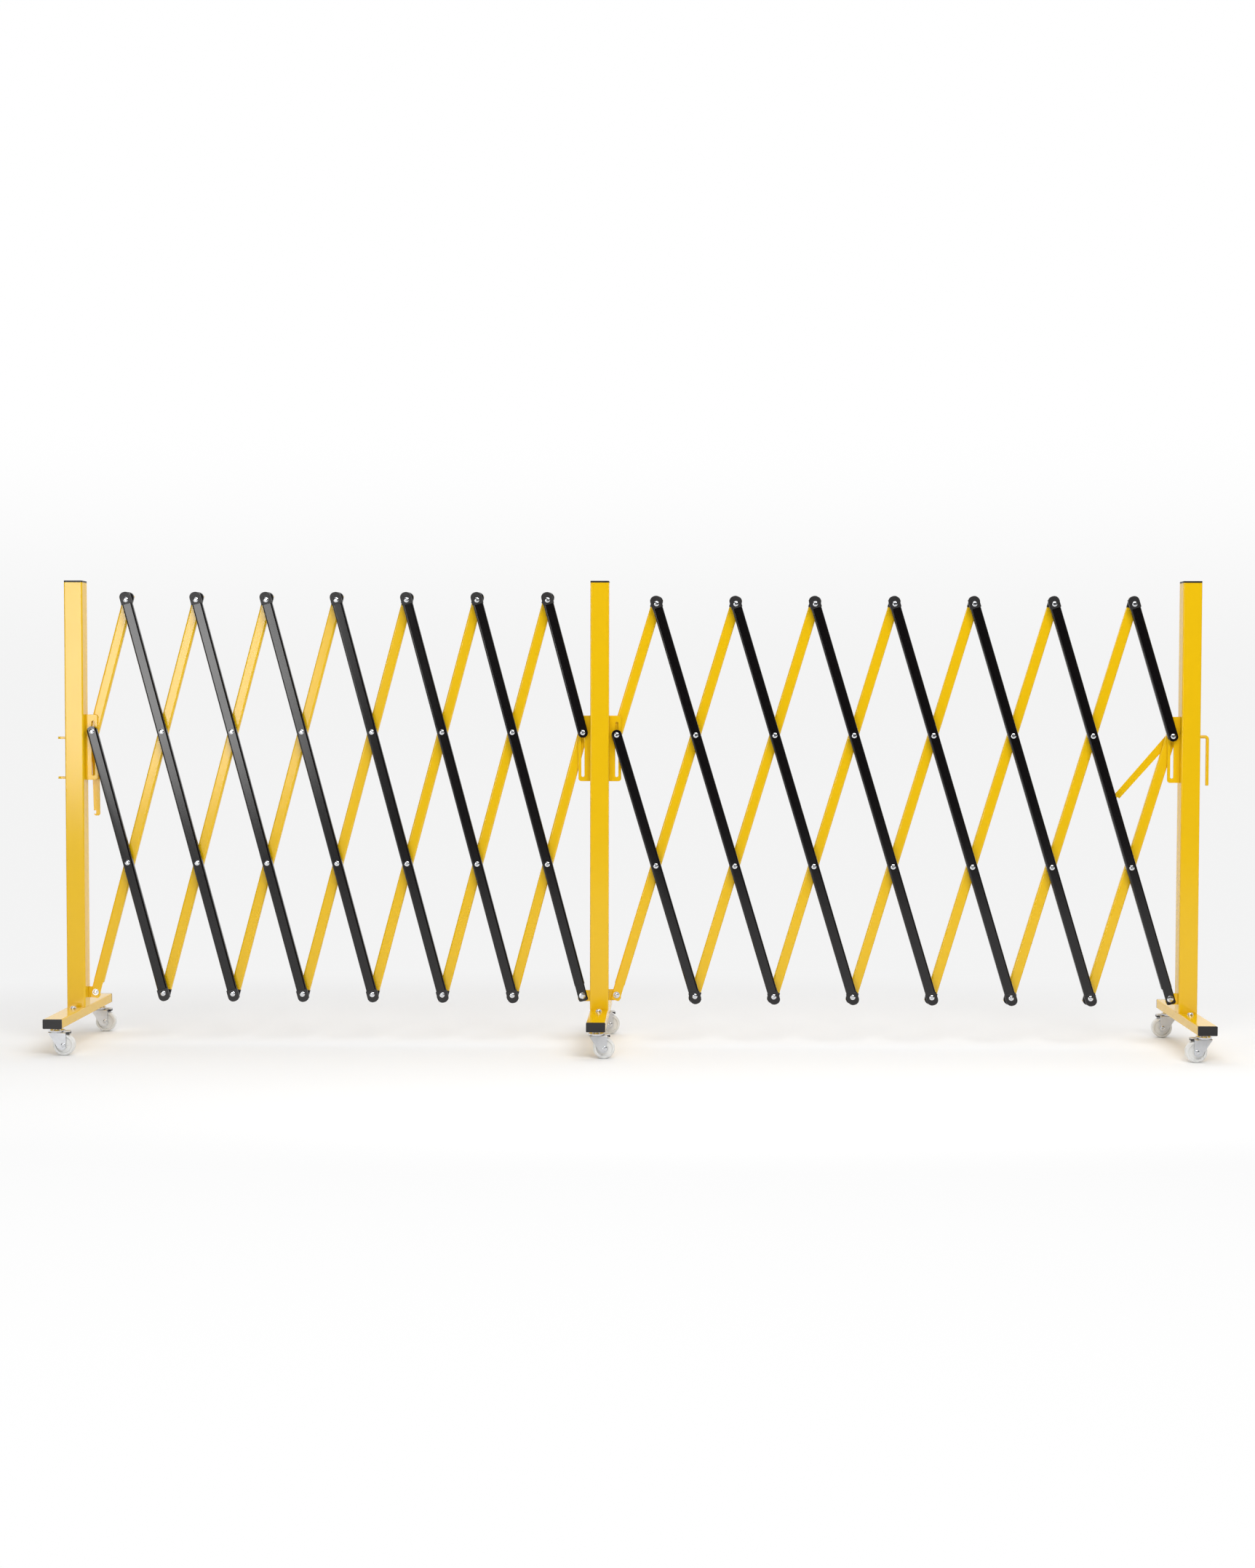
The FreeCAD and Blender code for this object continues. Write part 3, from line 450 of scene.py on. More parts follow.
def dress(thing, material, slot, body, *nodes):
    """Give a piece its finish and the body that it rides on."""
    thing.data.materials.clear()
    thing.data.materials.append(material)
    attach(thing, body)
    if nodes:
        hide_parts(*nodes)


def move(x=0.0, y=0.0, z=0.0):
    return Matrix.Translation((x, y, z))


def turn(angle_of_turn, axis):
    return Matrix.Rotation(angle_of_turn, 4, axis)


# Finishes
# Sockets of a Mix node's colours, which share their names with other sockets
MIX_A = 6
MIX_B = 7
MIX_RESULT = 2
# Octaves of the noise that makes broad patches
PATCH_DETAIL = 3.0


def node(tree, kind, settings=None, *sockets, **links):
    """Add a shader node with its settings, and link its inputs, in their order or by name."""
    added = tree.nodes.new(kind)
    for name, value in (settings or {}).items():
        if hasattr(added, name):
            setattr(added, name, value)
        else:
            added.inputs[name].default_value = value
    for place, socket in [*enumerate(sockets), *links.items()]:
        tree.links.new(socket, added.inputs[place])
    return added


def new_material(name):
    """A material, its node tree and its shader."""
    material = bpy.data.materials.new(name)
    material.use_nodes = True
    return material, material.node_tree, material.node_tree.nodes["Principled BSDF"]


def surface(name, tint, shade, roughness, swing, patch, grain, detail, relief, depth=0.1, constants=None):
    """A finish that drifts in tint and gloss over patches and has a fine grain; sizes in millimetres."""
    if name in bpy.data.materials:
        return bpy.data.materials[name]
    material, tree, shader = new_material(name)
    where = node(tree, "ShaderNodeTexCoord").outputs["Object"]
    broad = {"Scale": MM_PER_METRE / patch, "Detail": PATCH_DETAIL}
    patches = node(tree, "ShaderNodeTexNoise", broad, Vector=where)
    blend = node(tree, "ShaderNodeMix", {"data_type": "RGBA"}, Factor=patches.outputs["Fac"])
    blend.inputs[MIX_A].default_value = (*tint, 1)
    blend.inputs[MIX_B].default_value = (*(channel * shade for channel in tint), 1)
    dull = {"To Min": roughness - swing, "To Max": roughness + swing}
    gloss = node(tree, "ShaderNodeMapRange", dull, Value=patches.outputs["Fac"])
    fine = {"Scale": MM_PER_METRE / grain, "Detail": detail}
    grains = node(tree, "ShaderNodeTexNoise", fine, Vector=where)
    raised = {"Strength": relief, "Distance": depth / MM_PER_METRE}
    bump = node(tree, "ShaderNodeBump", raised, Height=grains.outputs["Fac"])
    tree.links.new(blend.outputs[MIX_RESULT], shader.inputs["Base Color"])
    tree.links.new(gloss.outputs["Result"], shader.inputs["Roughness"])
    tree.links.new(bump.outputs["Normal"], shader.inputs["Normal"])
    for socket, value in (constants or {}).items():
        shader.inputs[socket].default_value = value
    return material


def powder_coat(name, tint, shade, relief):
    """Powder coat on steel: sprayed and baked, so it is even, a little glossy, with a fine orange peel."""
    # The film's thickness drifts over about 120 mm, and orange peel is about 1.5 mm from crest to crest
    return surface(
        name, tint, shade, roughness=0.16, swing=0.03, patch=120, grain=1.5, detail=2.0, relief=relief,
        constants={"IOR": 1.5},
    )


def yellow_powder_coat():
    return powder_coat("yellow_powder_coat", finish().yellow, shade=0.97, relief=0.04)


def black_powder_coat():
    return powder_coat("black_powder_coat", finish().black, shade=0.8, relief=0.06)


def black_polyethylene():
    """Injection-moulded polyethylene: nearly black, dull, with a fine spark-eroded grain."""
    # Mould grain is 0.3 mm, drawn at 0.8 mm so that it shows, and handling rubs it in patches of 9 mm
    return surface(
        "black_polyethylene", finish().plastic, shade=1.5, roughness=0.4, swing=0.06, patch=9, grain=0.8,
        detail=4.0, relief=0.3,
    )


def zinc(name, shade, roughness):
    """Zinc plate on steel: a pale metal with soft cloudy patches and fine marks."""
    # Passivation clouds are about 6 mm across, and press and tumbling marks about 0.5 mm
    return surface(
        name, finish().zinc, shade, roughness, swing=0.06, patch=6, grain=0.5, detail=2.0, relief=0.12,
        constants={"Metallic": 1.0},
    )


def zinc_plate():
    """Barrel plating on the pressed forks: tumbled, so it is dull and scatters the light."""
    return zinc("zinc_plate", shade=0.88, roughness=0.52)


def bright_zinc():
    """Bright plating on turned pieces: smooth, so it shows light and dark bands."""
    return zinc("bright_zinc", shade=0.9, roughness=0.22)


def natural_nylon():
    """Injection-moulded natural nylon: milky, a little see-through at the rim, with a soft gloss."""
    # Flow marks of the moulding are about 8 mm across, and light comes out again up to 4 mm further on
    scatter = 4 / MM_PER_METRE
    return surface(
        "natural_nylon", finish().nylon, shade=0.92, roughness=0.36, swing=0.06, patch=8, grain=8,
        detail=PATCH_DETAIL, relief=0.08, depth=0.2,
        constants={"IOR": 1.53, "Subsurface Weight": 0.3, "Subsurface Radius": (scatter, scatter, scatter)},
    )


# Places that the pieces share
def post_x(side):
    low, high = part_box(f"{side}_foot")
    return (low.x + high.x) / 2


def foot_top():
    return sizes().castor_height + sizes().foot_height


def castor_reach():
    """Distance from a foot's middle to the swivel axis of a castor."""
    return sizes().foot_length / 2 - sizes().castor_inset


def opening(side):
    """Lean of one panel's bars."""
    return sizes().left_opening if side == "left" else sizes().right_opening


def web_front(tone):
    """Depth of the front of the yellow or black bars' webs."""
    return sizes().bar_gap / 2 if tone == "yellow" else -sizes().bar_gap / 2 - sizes().bar_depth


# Kinds of bar: how many pivots each has, and what its lower and upper ends are for
BAR_KINDS = {
    "full": (4, "cap", "cap"),
    "tab": (4, "tab", "cap"),
    "long": (3, "cap", "slot"),
    "short": (2, "slot", "cap"),
}
# Bars that aren't full, by the column where their line would meet the bottom (yellow) or top row (black)
SPECIAL_BARS = {
    "yellow": {-2: "short", 0: "tab", COLUMNS - 2: "long"},
    "black": {-1: "long", COLUMNS - 3: "tab", COLUMNS - 1: "short"},
}
Bar = namedtuple("Bar", "name side tone kind place")


def lattice():
    """Each bar of both panels: its node, panel, tone and kind, and the matrix that puts it in place."""
    for side in PANELS:
        lean = opening(side)
        step = sizes().link_pitch * math.sin(lean)
        rise = sizes().link_pitch * math.cos(lean)
        start = post_x("left" if side == "left" else "middle") + sizes().pivot_offset
        for number in range(COLUMNS // 2 + 1):
            for tone, column in (("yellow", 2 * number - 2), ("black", 2 * number - 1)):
                kind = SPECIAL_BARS[tone].get(column, "full")
                level = SLOT_LEVEL if BAR_KINDS[kind][1] == "slot" else 0
                foot = column + (level if tone == "yellow" else TOP_LEVEL - level)
                place = move(start + foot * step, web_front(tone), sizes().base_level + level * rise)
                place = place @ turn(lean if tone == "yellow" else -lean, "Y")
                yield Bar(f"{side}_{tone}_bar_{number + 1}", side, tone, kind, place)


def coat(tone):
    if tone == "yellow":
        return yellow_powder_coat(), "yellow_coat"
    return black_powder_coat(), "black_coat"


# Posts
def model_tube(name, low, high, way, corner):
    """A square tube along an axis, with rounded corners and open ends."""
    thing = block(name, low, high)
    bevel(thing, edges(way), corner, STEPS["corner"])
    shell(thing, lambda middle, normal: abs(getattr(normal, way)) > STRAIGHT, sizes().post_wall)
    return soften(thing)


def model_plate(name, low, high, front, back):
    """A plate out of a post's right side, with its two far corners rounded."""
    near = sizes().post_width / 2 - HAIR
    far = sizes().post_width / 2 + sizes().plate_reach
    thing = block(name, (near, front, low), (far, back, high))
    bevel(thing, edges("y", x=far), sizes().plate_corner, STEPS["plate"])
    return thing


def model_slot_plate():
    reach = SLOT_LEVEL * sizes().link_pitch
    slot_low = sizes().base_level + reach * math.cos(sizes().max_opening)
    slot_high = sizes().base_level + reach * math.cos(sizes().min_opening)
    low = slot_low - sizes().plate_foot
    high = slot_high + sizes().plate_head
    half = sizes().plate_thickness / 2
    thing = model_plate("slot_plate", low, high, -half, half)
    side = sizes().slot_width / 2
    x = sizes().pivot_offset
    slot = block("slot", (x - side, -2 * half, slot_low - side), (x + side, 2 * half, slot_high + side))
    bevel(slot, edges("y"), side * NEARLY, STEPS["plate"])
    cut(thing, slot)
    return soften(thing, sizes().plate_break)


def model_tab(tone):
    """A bottom tab, behind the web of the bar that it holds."""
    front = web_front(tone) + sizes().bar_wall + sizes().tab_gap
    half = sizes().tab_height / 2
    level = sizes().base_level
    thing = model_plate(f"{tone}_tab", level - half, level + half, front, front + sizes().plate_thickness)
    return soften(thing, sizes().plate_break)


def model_hook():
    """A rod out of the right post's side, bent down, with a chamfered end."""
    half = sizes().post_width / 2
    level = sizes().hook_level
    bend = sizes().hook_bend
    chamfer = sizes().hook_chamfer
    straight = half + sizes().hook_reach - bend
    thing = rod("hook", (half - HAIR, 0, level), (straight, 0, level), sizes().rod_radius, FACETS["pin"])
    edit(thing)
    pick_faces(lambda middle, normal: normal.x > STRAIGHT)
    bpy.ops.mesh.delete(type="ONLY_FACE")
    pick_edges(lambda middle, along: middle.x > straight - TINY)
    centre = (straight, 0, level - bend)
    bpy.ops.mesh.spin(steps=STEPS["hook"], angle=math.pi / 2, center=centre, axis=(0, -1, 0), dupli=False)
    drop = sizes().hook_drop - bend - chamfer
    bpy.ops.mesh.extrude_region_move(TRANSFORM_OT_translate={"value": (0, 0, -drop)})
    bpy.ops.mesh.edge_face_add()
    bpy.ops.mesh.inset(thickness=chamfer, depth=chamfer)
    bpy.ops.mesh.select_all(action="SELECT")
    bpy.ops.mesh.remove_doubles(threshold=TINY)
    bpy.ops.mesh.normals_make_consistent(inside=False)
    close()
    return soften(thing)


def model_eye(level):
    """A coupling eye out of the left post's side, with its hole and a rounded end."""
    half = sizes().post_width / 2
    wide = sizes().eye_radius
    x = -(half + sizes().eye_reach)
    thing = block("eye", (x - wide, -wide, level), (HAIR - half, wide, level + sizes().eye_thickness))
    bevel(thing, edges("z", x=x - wide), wide * NEARLY, STEPS["eye"])
    hole = rod("eye_hole", (x, 0, level - wide), (x, 0, level + 2 * wide), sizes().eye_hole, FACETS["bolt"])
    cut(thing, hole)
    return soften(thing, sizes().sheet_break)


class BARRIER_OT_posts(bpy.types.Operator):
    """Model the three posts with their slot plates, bottom tabs and couplings"""

    bl_idname = "barrier.posts"
    bl_label = "Posts"

    def execute(self, context):
        half = sizes().post_width / 2
        low = (-half, -half, foot_top())
        high = (half, half, foot_top() + sizes().post_length)
        tube = model_tube("post_tube", low, high, "z", sizes().post_corner)
        plate = model_slot_plate()
        yellow_tab = model_tab("yellow")
        black_tab = model_tab("black")
        other_side = Matrix.Diagonal((-1, 1, 1, 1))
        left_plate = copy(plate, "left_plate", turn(math.pi, "Z"))
        left_tab = copy(black_tab, "left_tab", other_side)
        left_tab.data.flip_normals()
        hook = model_hook()
        eye_level = sizes().hook_level - sizes().hook_bend - sizes().eye_thickness
        eyes = [model_eye(eye_level), model_eye(eye_level - sizes().eye_spacing)]
        welded = {
            "left": [plate, yellow_tab, *eyes],
            "middle": [plate, left_plate, yellow_tab, left_tab],
            "right": [left_plate, left_tab, hook],
        }
        for side in POSTS:
            pieces = [copy(piece, piece.name, move(post_x(side))) for piece in [tube] + welded[side]]
            post = join(f"{side}_post_welded", pieces)
            dress(post, yellow_powder_coat(), "yellow_coat", f"{side}_post", f"{side}_post")
        discard([tube, plate, yellow_tab, black_tab, left_plate, left_tab, hook, *eyes])
        return {"FINISHED"}


# Feet
def model_dome_bolt():
    """A dome-headed bolt on its washer, standing on the foot in front of the post."""
    wide = sizes().bolt_radius
    y = -sizes().bolt_place
    start = (0, y, foot_top() - HAIR)
    end = (0, y, foot_top() + sizes().washer)
    return turned("dome_bolt", start, end, wide, FACETS["bolt"], wide, end_profile="dome_bolt")


def model_spindle():
    """The part of a castor's spindle that shows between the foot and the fork."""
    wide = sizes().spindle_radius
    start = (0, 0, sizes().spindle_hold)
    end = (0, 0, -sizes().spindle_reach)
    return turned("spindle", start, end, wide, FACETS["pin"], wide, end_profile="spindle")


class BARRIER_OT_feet(bpy.types.Operator):
    """Model the cross feet, their dome bolts and the castors' spindles"""

    bl_idname = "barrier.feet"
    bl_label = "Feet"

    def execute(self, context):
        half = sizes().post_width / 2
        reach = sizes().foot_length / 2
        low = (-half, -reach, sizes().castor_height)
        tube = model_tube("foot_tube", low, (half, reach, foot_top()), "y", sizes().foot_corner)
        bolt = model_dome_bolt()
        spindle = model_spindle()
        for side in POSTS:
            body = f"{side}_post"
            foot = copy(tube, f"{side}_foot_tube", move(post_x(side)))
            dress(foot, yellow_powder_coat(), "yellow_coat", body, f"{side}_foot")
            pieces = [copy(bolt, "bolt", move(post_x(side)))]
            for sign in (-1, 1):
                y = sign * castor_reach()
                pieces.append(copy(spindle, "spindle_copy", move(post_x(side), y, sizes().castor_height)))
            fixings = join(f"{side}_foot_fixings", pieces)
            dress(fixings, bright_zinc(), "zinc", body)
        discard([tube, bolt, spindle])
        return {"FINISHED"}


# Plugs
def add_shank(thing, way):
    """Draw the part of a plug that its tube holds out of the plug's flange."""
    way = Vector(way)
    edit(thing)
    pick_faces(lambda middle, normal: normal.dot(way) > STRAIGHT)
    bpy.ops.mesh.inset(thickness=sizes().post_wall + sizes().plug_play, depth=0)
    bpy.ops.mesh.extrude_region_move(TRANSFORM_OT_translate={"value": way * sizes().plug_hold})
    close()


def model_post_plug():
    half = sizes().post_width / 2
    top = foot_top() + sizes().post_length
    thing = block("post_plug", (-half, -half, top), (half, half, top + sizes().plug_flange))
    bevel(thing, edges("z"), sizes().post_corner, STEPS["corner"])
    add_shank(thing, (0, 0, -1))
    return soften(thing, sizes().plug_break)


def model_foot_plug():
    half = sizes().post_width / 2
    reach = sizes().foot_length / 2
    low = (-half, -reach - sizes().foot_plug_flange, sizes().castor_height)
    thing = block("foot_plug", low, (half, -reach, foot_top()))
    bevel(thing, edges("y"), sizes().foot_corner, STEPS["bend"])
    add_shank(thing, (0, 1, 0))
    return soften(thing, sizes().foot_plug_break)


class BARRIER_OT_plugs(bpy.types.Operator):
    """Model the plugs in the ends of the posts and feet"""

    bl_idname = "barrier.plugs"
    bl_label = "Plugs"

    def execute(self, context):
        top = model_post_plug()
        front = model_foot_plug()
        rear = copy(front, "rear_plug", turn(math.pi, "Z"))
        for side in POSTS:
            pieces = [copy(piece, piece.name, move(post_x(side))) for piece in (top, front, rear)]
            plugs = join(f"{side}_moulded_plugs", pieces)
            dress(plugs, black_polyethylene(), "black_plastic", f"{side}_post", f"{side}_plugs")
        discard([top, front, rear])
        return {"FINISHED"}


# Castors, modelled with the swivel axis at the origin, the foot's underside at zero, trailing along X
def castor_places():
    for side in POSTS:
        for end, sign in (("front", -1), ("rear", 1)):
            low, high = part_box(f"{side}_{end}_wheel")
            hub = (low + high) / 2
            x = post_x(side)
            y = sign * castor_reach()
            trail = math.atan2(hub.y - y, hub.x - x)
            yield side, end, move(x, y, sizes().castor_height) @ turn(trail, "Z")


def axle_drop():
    return sizes().castor_height - sizes().wheel_radius


def on_axle(reach):
    """The points of the axle's line that are so far to either side of the wheel's middle."""
    return [(sizes().castor_trail, way * reach, -axle_drop()) for way in (-1, 1)]


def fork_half():
    """Half the width between the outsides of a fork's legs."""
    return sizes().wheel_width / 2 + sizes().fork_gap + sizes().fork_sheet


def model_fork():
    """A fork pressed from one sheet: a top, and two legs that taper to a round end about the axle."""
    half = fork_half()
    top = -sizes().fork_top
    front = -sizes().fork_front
    back = sizes().castor_trail + sizes().fork_back
    low = -axle_drop() - sizes().fork_low
    lean = sizes().fork_lean
    thing = block("fork", (front, -half, low), (back, half, top))
    # The leading edge leans back from the race's rim
    slice_off(thing, (front, 0, top - sizes().fork_lip), (-math.cos(lean), 0, -math.sin(lean)))
    bevel(thing, edges("y", z=low), sizes().fork_round, STEPS["plate"])
    bevel(thing, edges("x", z=top), sizes().fork_bend, STEPS["bend"])
    # Only the top, its two bends and the legs stay
    def is_open(middle, normal):
        return abs(normal.y) < 1 - STRAIGHT and normal.z < STRAIGHT
    shell(thing, is_open, sizes().fork_sheet)
    return soften(thing, sizes().sheet_break)


def model_tail():
    """The fork's top carried on behind the legs, over the black wedge of painted shade."""
    top = -sizes().fork_top
    half = fork_half() - sizes().fork_sheet
    back = sizes().castor_trail + sizes().tail_reach
    thing = block("tail", (sizes().castor_trail, -half, top - HAIR), (back, half, top + sizes().tail_sheet))
    bevel(thing, edges("z", x=back), sizes().tail_corner, STEPS["corner"])
    return soften(thing, sizes().sheet_break)


def model_shade_wedge():
    """A black wedge of painted shade under the fork's tail, where the gap between the tail and the wheel
    lies in shade.
    """
    top = -sizes().fork_top - HAIR
    half = sizes().wheel_width / 2
    front = sizes().castor_trail + sizes().fork_back + HAIR
    back = front + sizes().shade_wedge_length
    slope = math.atan2(sizes().shade_wedge_back - sizes().shade_wedge_front, sizes().shade_wedge_length)
    thing = block("stop", (front, -half, top - sizes().shade_wedge_back), (back, half, top))
    slice_off(thing, (front, 0, top - sizes().shade_wedge_front), (-math.sin(slope), 0, -math.cos(slope)))
    return soften(thing, sizes().shade_wedge_break)


def model_race():
    """The ball race on the fork: a dished ring with a rolled rim, and a collar round the spindle."""
    wide = sizes().race_radius
    top = -sizes().fork_top
    start = (0, 0, top - sizes().fork_sheet / 2)
    return turned("race", start, (0, 0, top), wide / 2, FACETS["race"], wide, end_profile="race")


def model_axle():
    """A hollow axle, rolled over at each end."""
    wide = sizes().axle_radius
    return turned("axle", *on_axle(fork_half()), wide, FACETS["axle"], wide, "axle", "axle")


def model_wheel():
    """A nylon wheel with a crowned tread, a lipped rim and a raised hub."""
    half = sizes().wheel_width / 2 - sizes().wheel_shoulder
    wide = sizes().wheel_radius
    return turned("wheel", *on_axle(half), wide, FACETS["wheel"], wide, "wheel", "wheel")


class BARRIER_OT_castors(bpy.types.Operator):
    """Model the castors: forks with their races and axles, and wheels"""

    bl_idname = "barrier.castors"
    bl_label = "Castors"

    def execute(self, context):
        fork = join("fork_set", [model_fork(), model_tail()])
        bearing = join("bearing_set", [model_race(), model_axle()])
        # A black wedge of painted shade stands for the shaded gap under each fork's tail
        stop = model_shade_wedge()
        wheel = model_wheel()
        for side, end, place in castor_places():
            body = f"{side}_{end}_fork"
            pressed = copy(fork, f"{side}_{end}_fork_pressed", place)
            dress(pressed, zinc_plate(), "zinc", body, body)
            race = copy(bearing, f"{side}_{end}_fork_turned", place)
            dress(race, bright_zinc(), "zinc", body)
            # Painted shade under the fork's tail, in the black plastic
            painted = copy(stop, f"{side}_{end}_fork_stop", place)
            dress(painted, black_polyethylene(), "black_plastic", body)
            body = f"{side}_{end}_wheel"
            moulded = copy(wheel, f"{side}_{end}_wheel_moulded", place)
            dress(moulded, natural_nylon(), "nylon", body, body)
        discard([fork, bearing, stop, wheel])
        return {"FINISHED"}


# Lattice bars, modelled upright with their lowest pivot at the origin and the web's front at zero depth
def model_channel(name, low, high):
    """A pressed channel with rounded long edges."""
    half = sizes().bar_width / 2
    thing = block(name, (-half, 0, low), (half, sizes().bar_depth, high))
    bevel(thing, edges("z", y=0), sizes().bar_edge, STEPS["bend"])
    shell(thing, lambda middle, normal: normal.y > STRAIGHT or abs(normal.z) > STRAIGHT, sizes().bar_wall)
    return thing


def keep_outline(thing, low, high, end, corner, segments):
    """Cut a bar to an outline whose two corners at one end are rounded."""
    half = sizes().bar_width / 2 + HAIR
    depth = sizes().bar_depth
    outline = block("outline", (-half, -depth, low), (half, 2 * depth, high))
    bevel(outline, edges("y", z=end), corner, segments)
    cut(thing, outline, "INTERSECT")


def model_bar(kind):
    pivots, bottom, top = BAR_KINDS[kind]
    last = (pivots - 1) * sizes().link_pitch
    half = sizes().bar_width / 2
    spare = {"cap": sizes().bar_tip, "tab": sizes().bar_tip, "slot": half}
    low = -spare[bottom]
    high = last + spare[top]
    thing = model_channel(f"{kind}_bar", low, high)
    if bottom == "tab":
        near = (-2 * half, sizes().bar_wall, low - half)
        cut(thing, block("trim", near, (2 * half, 2 * sizes().bar_depth, sizes().flange_trim)))
        keep_outline(thing, low, high + half, low, sizes().tab_corner, STEPS["corner"])
    if bottom == "slot":
        keep_outline(thing, low, high + half, low, half * NEARLY, STEPS["end"])
    if top == "slot":
        keep_outline(thing, low - half, high, high, half * NEARLY, STEPS["end"])
    return soften(thing, sizes().bar_break, segments=1)


class BARRIER_OT_bars(bpy.types.Operator):
    """Model the lattice bars of both panels"""

    bl_idname = "barrier.bars"
    bl_label = "Lattice Bars"

    def execute(self, context):
        models = {kind: model_bar(kind) for kind in BAR_KINDS}
        for bar in lattice():
            channel = copy(models[bar.kind], f"{bar.name}_channel", bar.place)
            dress(channel, *coat(bar.tone), bar.name, bar.name)
        discard(models.values())
        return {"FINISHED"}


# End caps
def model_cap():
    """A sleeve cap over the top end of a bar, measured from its last pivot."""
    half = sizes().cap_width / 2
    top = sizes().cap_outside
    low = (-half, -sizes().cap_front, -sizes().cap_inside)
    thing = block("cap", low, (half, sizes().cap_depth, top))
    bevel(thing, edges("y", z=top), half * CAP_ROUND, STEPS["cap"])
    return soften(thing, sizes().cap_break, segments=3)


class BARRIER_OT_caps(bpy.types.Operator):
    """Model the plastic caps on the free ends of the bars"""

    bl_idname = "barrier.caps"
    bl_label = "End Caps"

    def execute(self, context):
        cap = model_cap()
        for bar in lattice():
            pivots, bottom, top = BAR_KINDS[bar.kind]
            pieces = []
            if bottom == "cap":
                pieces.append(copy(cap, "low_cap", bar.place @ turn(math.pi, "Y")))
            if top == "cap":
                pieces.append(copy(cap, "high_cap", bar.place @ move(z=(pivots - 1) * sizes().link_pitch)))
            caps = join(f"{bar.name}_caps", pieces)
            dress(caps, black_polyethylene(), "black_plastic", bar.name)
        discard([cap])
        return {"FINISHED"}


# Rivets and slot pins, modelled along Y from the front of a black bar's web
def model_pin(name, reach, tail):
    """A rivet or a slot pin, with a drilled head in front and a tail behind."""
    wide = sizes().rivet_radius
    head = sizes().rivet_head
    return turned(name, (0, 0, 0), (0, reach, 0), wide, FACETS["pin"], head, "rivet_head", tail)


class BARRIER_OT_rivets(bpy.types.Operator):
    """Model the rivets of the lattice and the pins that run in the posts' slots"""

    bl_idname = "barrier.rivets"
    bl_label = "Rivets and Slot Pins"

    def execute(self, context):
        to_yellow = sizes().bar_depth + sizes().bar_gap
        rivet = model_pin("rivet", to_yellow + sizes().bar_wall, "rivet_tail")
        slot_pin = model_pin("slot_pin", to_yellow + sizes().bar_depth + sizes().pin_spare, "rivet_head")
        # The middle post's slot pins turn with these bars, and the end posts' slot pins stay upright
        at_middle = {"left": "short", "right": "long"}
        for bar in lattice():
            if bar.tone == "yellow":
                continue
            pivots, bottom, top = BAR_KINDS[bar.kind]
            slot = 0 if bottom == "slot" else pivots - 1 if top == "slot" else None
            pieces = []
            for number in range(1 if bottom == "tab" else 0, pivots):
                at = bar.place @ move(z=number * sizes().link_pitch)
                if number != slot:
                    pieces.append(copy(rivet, "rivet_copy", at))
                elif bar.kind == at_middle[bar.side]:
                    pieces.append(copy(slot_pin, "pin_copy", at))
                else:
                    upright = at @ turn(opening(bar.side), "Y")
                    pin = copy(slot_pin, f"{bar.side}_slot_pin_turned", upright)
                    dress(pin, bright_zinc(), "zinc", f"{bar.side}_slot_pin", f"{bar.side}_slot_pin")
            rivets = join(f"{bar.name}_rivets", pieces)
            dress(rivets, bright_zinc(), "zinc", bar.name)
        discard([rivet, slot_pin])
        return {"FINISHED"}


# Tab bolts
def model_tab_bolt(tone):
    """A bolt through a bar's tab end, with a nut behind the tab."""
    back = sizes().bar_wall + sizes().tab_gap + sizes().plate_thickness
    wide = sizes().tab_bolt
    head = sizes().tab_bolt_head
    bolt = turned("tab_bolt", (0, 0, 0), (0, back, 0), wide, FACETS["pin"], head, f"{tone}_bolt")
    nut = rod("nut", (0, back, 0), (0, back + sizes().nut_height, 0), sizes().nut_radius, FACETS["nut"])
    soften(nut, sizes().sheet_break)
    return join(f"{tone}_tab_bolt", [bolt, nut])


class BARRIER_OT_tab_bolts(bpy.types.Operator):
    """Model the bolts in the bottom tabs"""

    bl_idname = "barrier.tab_bolts"
    bl_label = "Tab Bolts"

    def execute(self, context):
        bolts = {tone: model_tab_bolt(tone) for tone in ("yellow", "black")}
        for bar in lattice():
            if bar.kind == "tab":
                bolt = copy(bolts[bar.tone], f"{bar.name}_bolt", bar.place)
                dress(bolt, bright_zinc(), "zinc", bar.name)
        discard(bolts.values())
        return {"FINISHED"}


# Latches
class BARRIER_OT_latches(bpy.types.Operator):
    """Finish the latches that hang on the end posts' slot pins"""

    bl_idname = "barrier.latches"
    bl_label = "Latches"

    def execute(self, context):
        for side in PANELS:
            latch = copy(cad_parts[f"{side}_latch"], f"{side}_latch_pressed")
            edit(latch)
            bpy.ops.mesh.select_all(action="SELECT")
            bpy.ops.mesh.remove_doubles(threshold=TINY)
            bpy.ops.mesh.dissolve_limited(angle_limit=FLAT_ANGLE)
            close()
            soften(latch, sizes().latch_break, segments=3)
            dress(latch, yellow_powder_coat(), "yellow_coat", f"{side}_latch", f"{side}_latch")
        return {"FINISHED"}


# Stage
WHITE = (1, 1, 1, 1)
# The floor's side in metres
FLOOR_SIZE = 60
PAPER_ROUGHNESS = 0.9
# Over this stretch in metres, under the camera and out of its view, the paper gives way to a floor painted
# dark as painted shade where the lamps' light falls off
PAINTED_SHADE_FALLOFF = {"From Min": -4.6, "From Max": -3.0}
# The shaded patch reaches so far beside and so far before and behind the barrier, in metres
SHADE_REACH = (2.4, 1.1, 1)
SHADE_FADE = {"From Min": 0.5, "From Max": 1.2}
# The paper is whitest at this point, and a little greyer some metres away from it
WHITEST = (0, -3.2, 0)
PAPER_TONE = {"From Min": 0.6, "From Max": 4.7, "To Min": 1.0, "To Max": 0.9}
# The room's light on the object, from front to back
ROOM_LIGHT = {"From Min": -0.3, "From Max": 0.4, "To Min": 0.02, "To Max": 0.95}
# The part of the room, from front to back, where metal mirrors the backdrop
ROOM_BEHIND = {"From Min": 0.0, "From Max": 0.4}
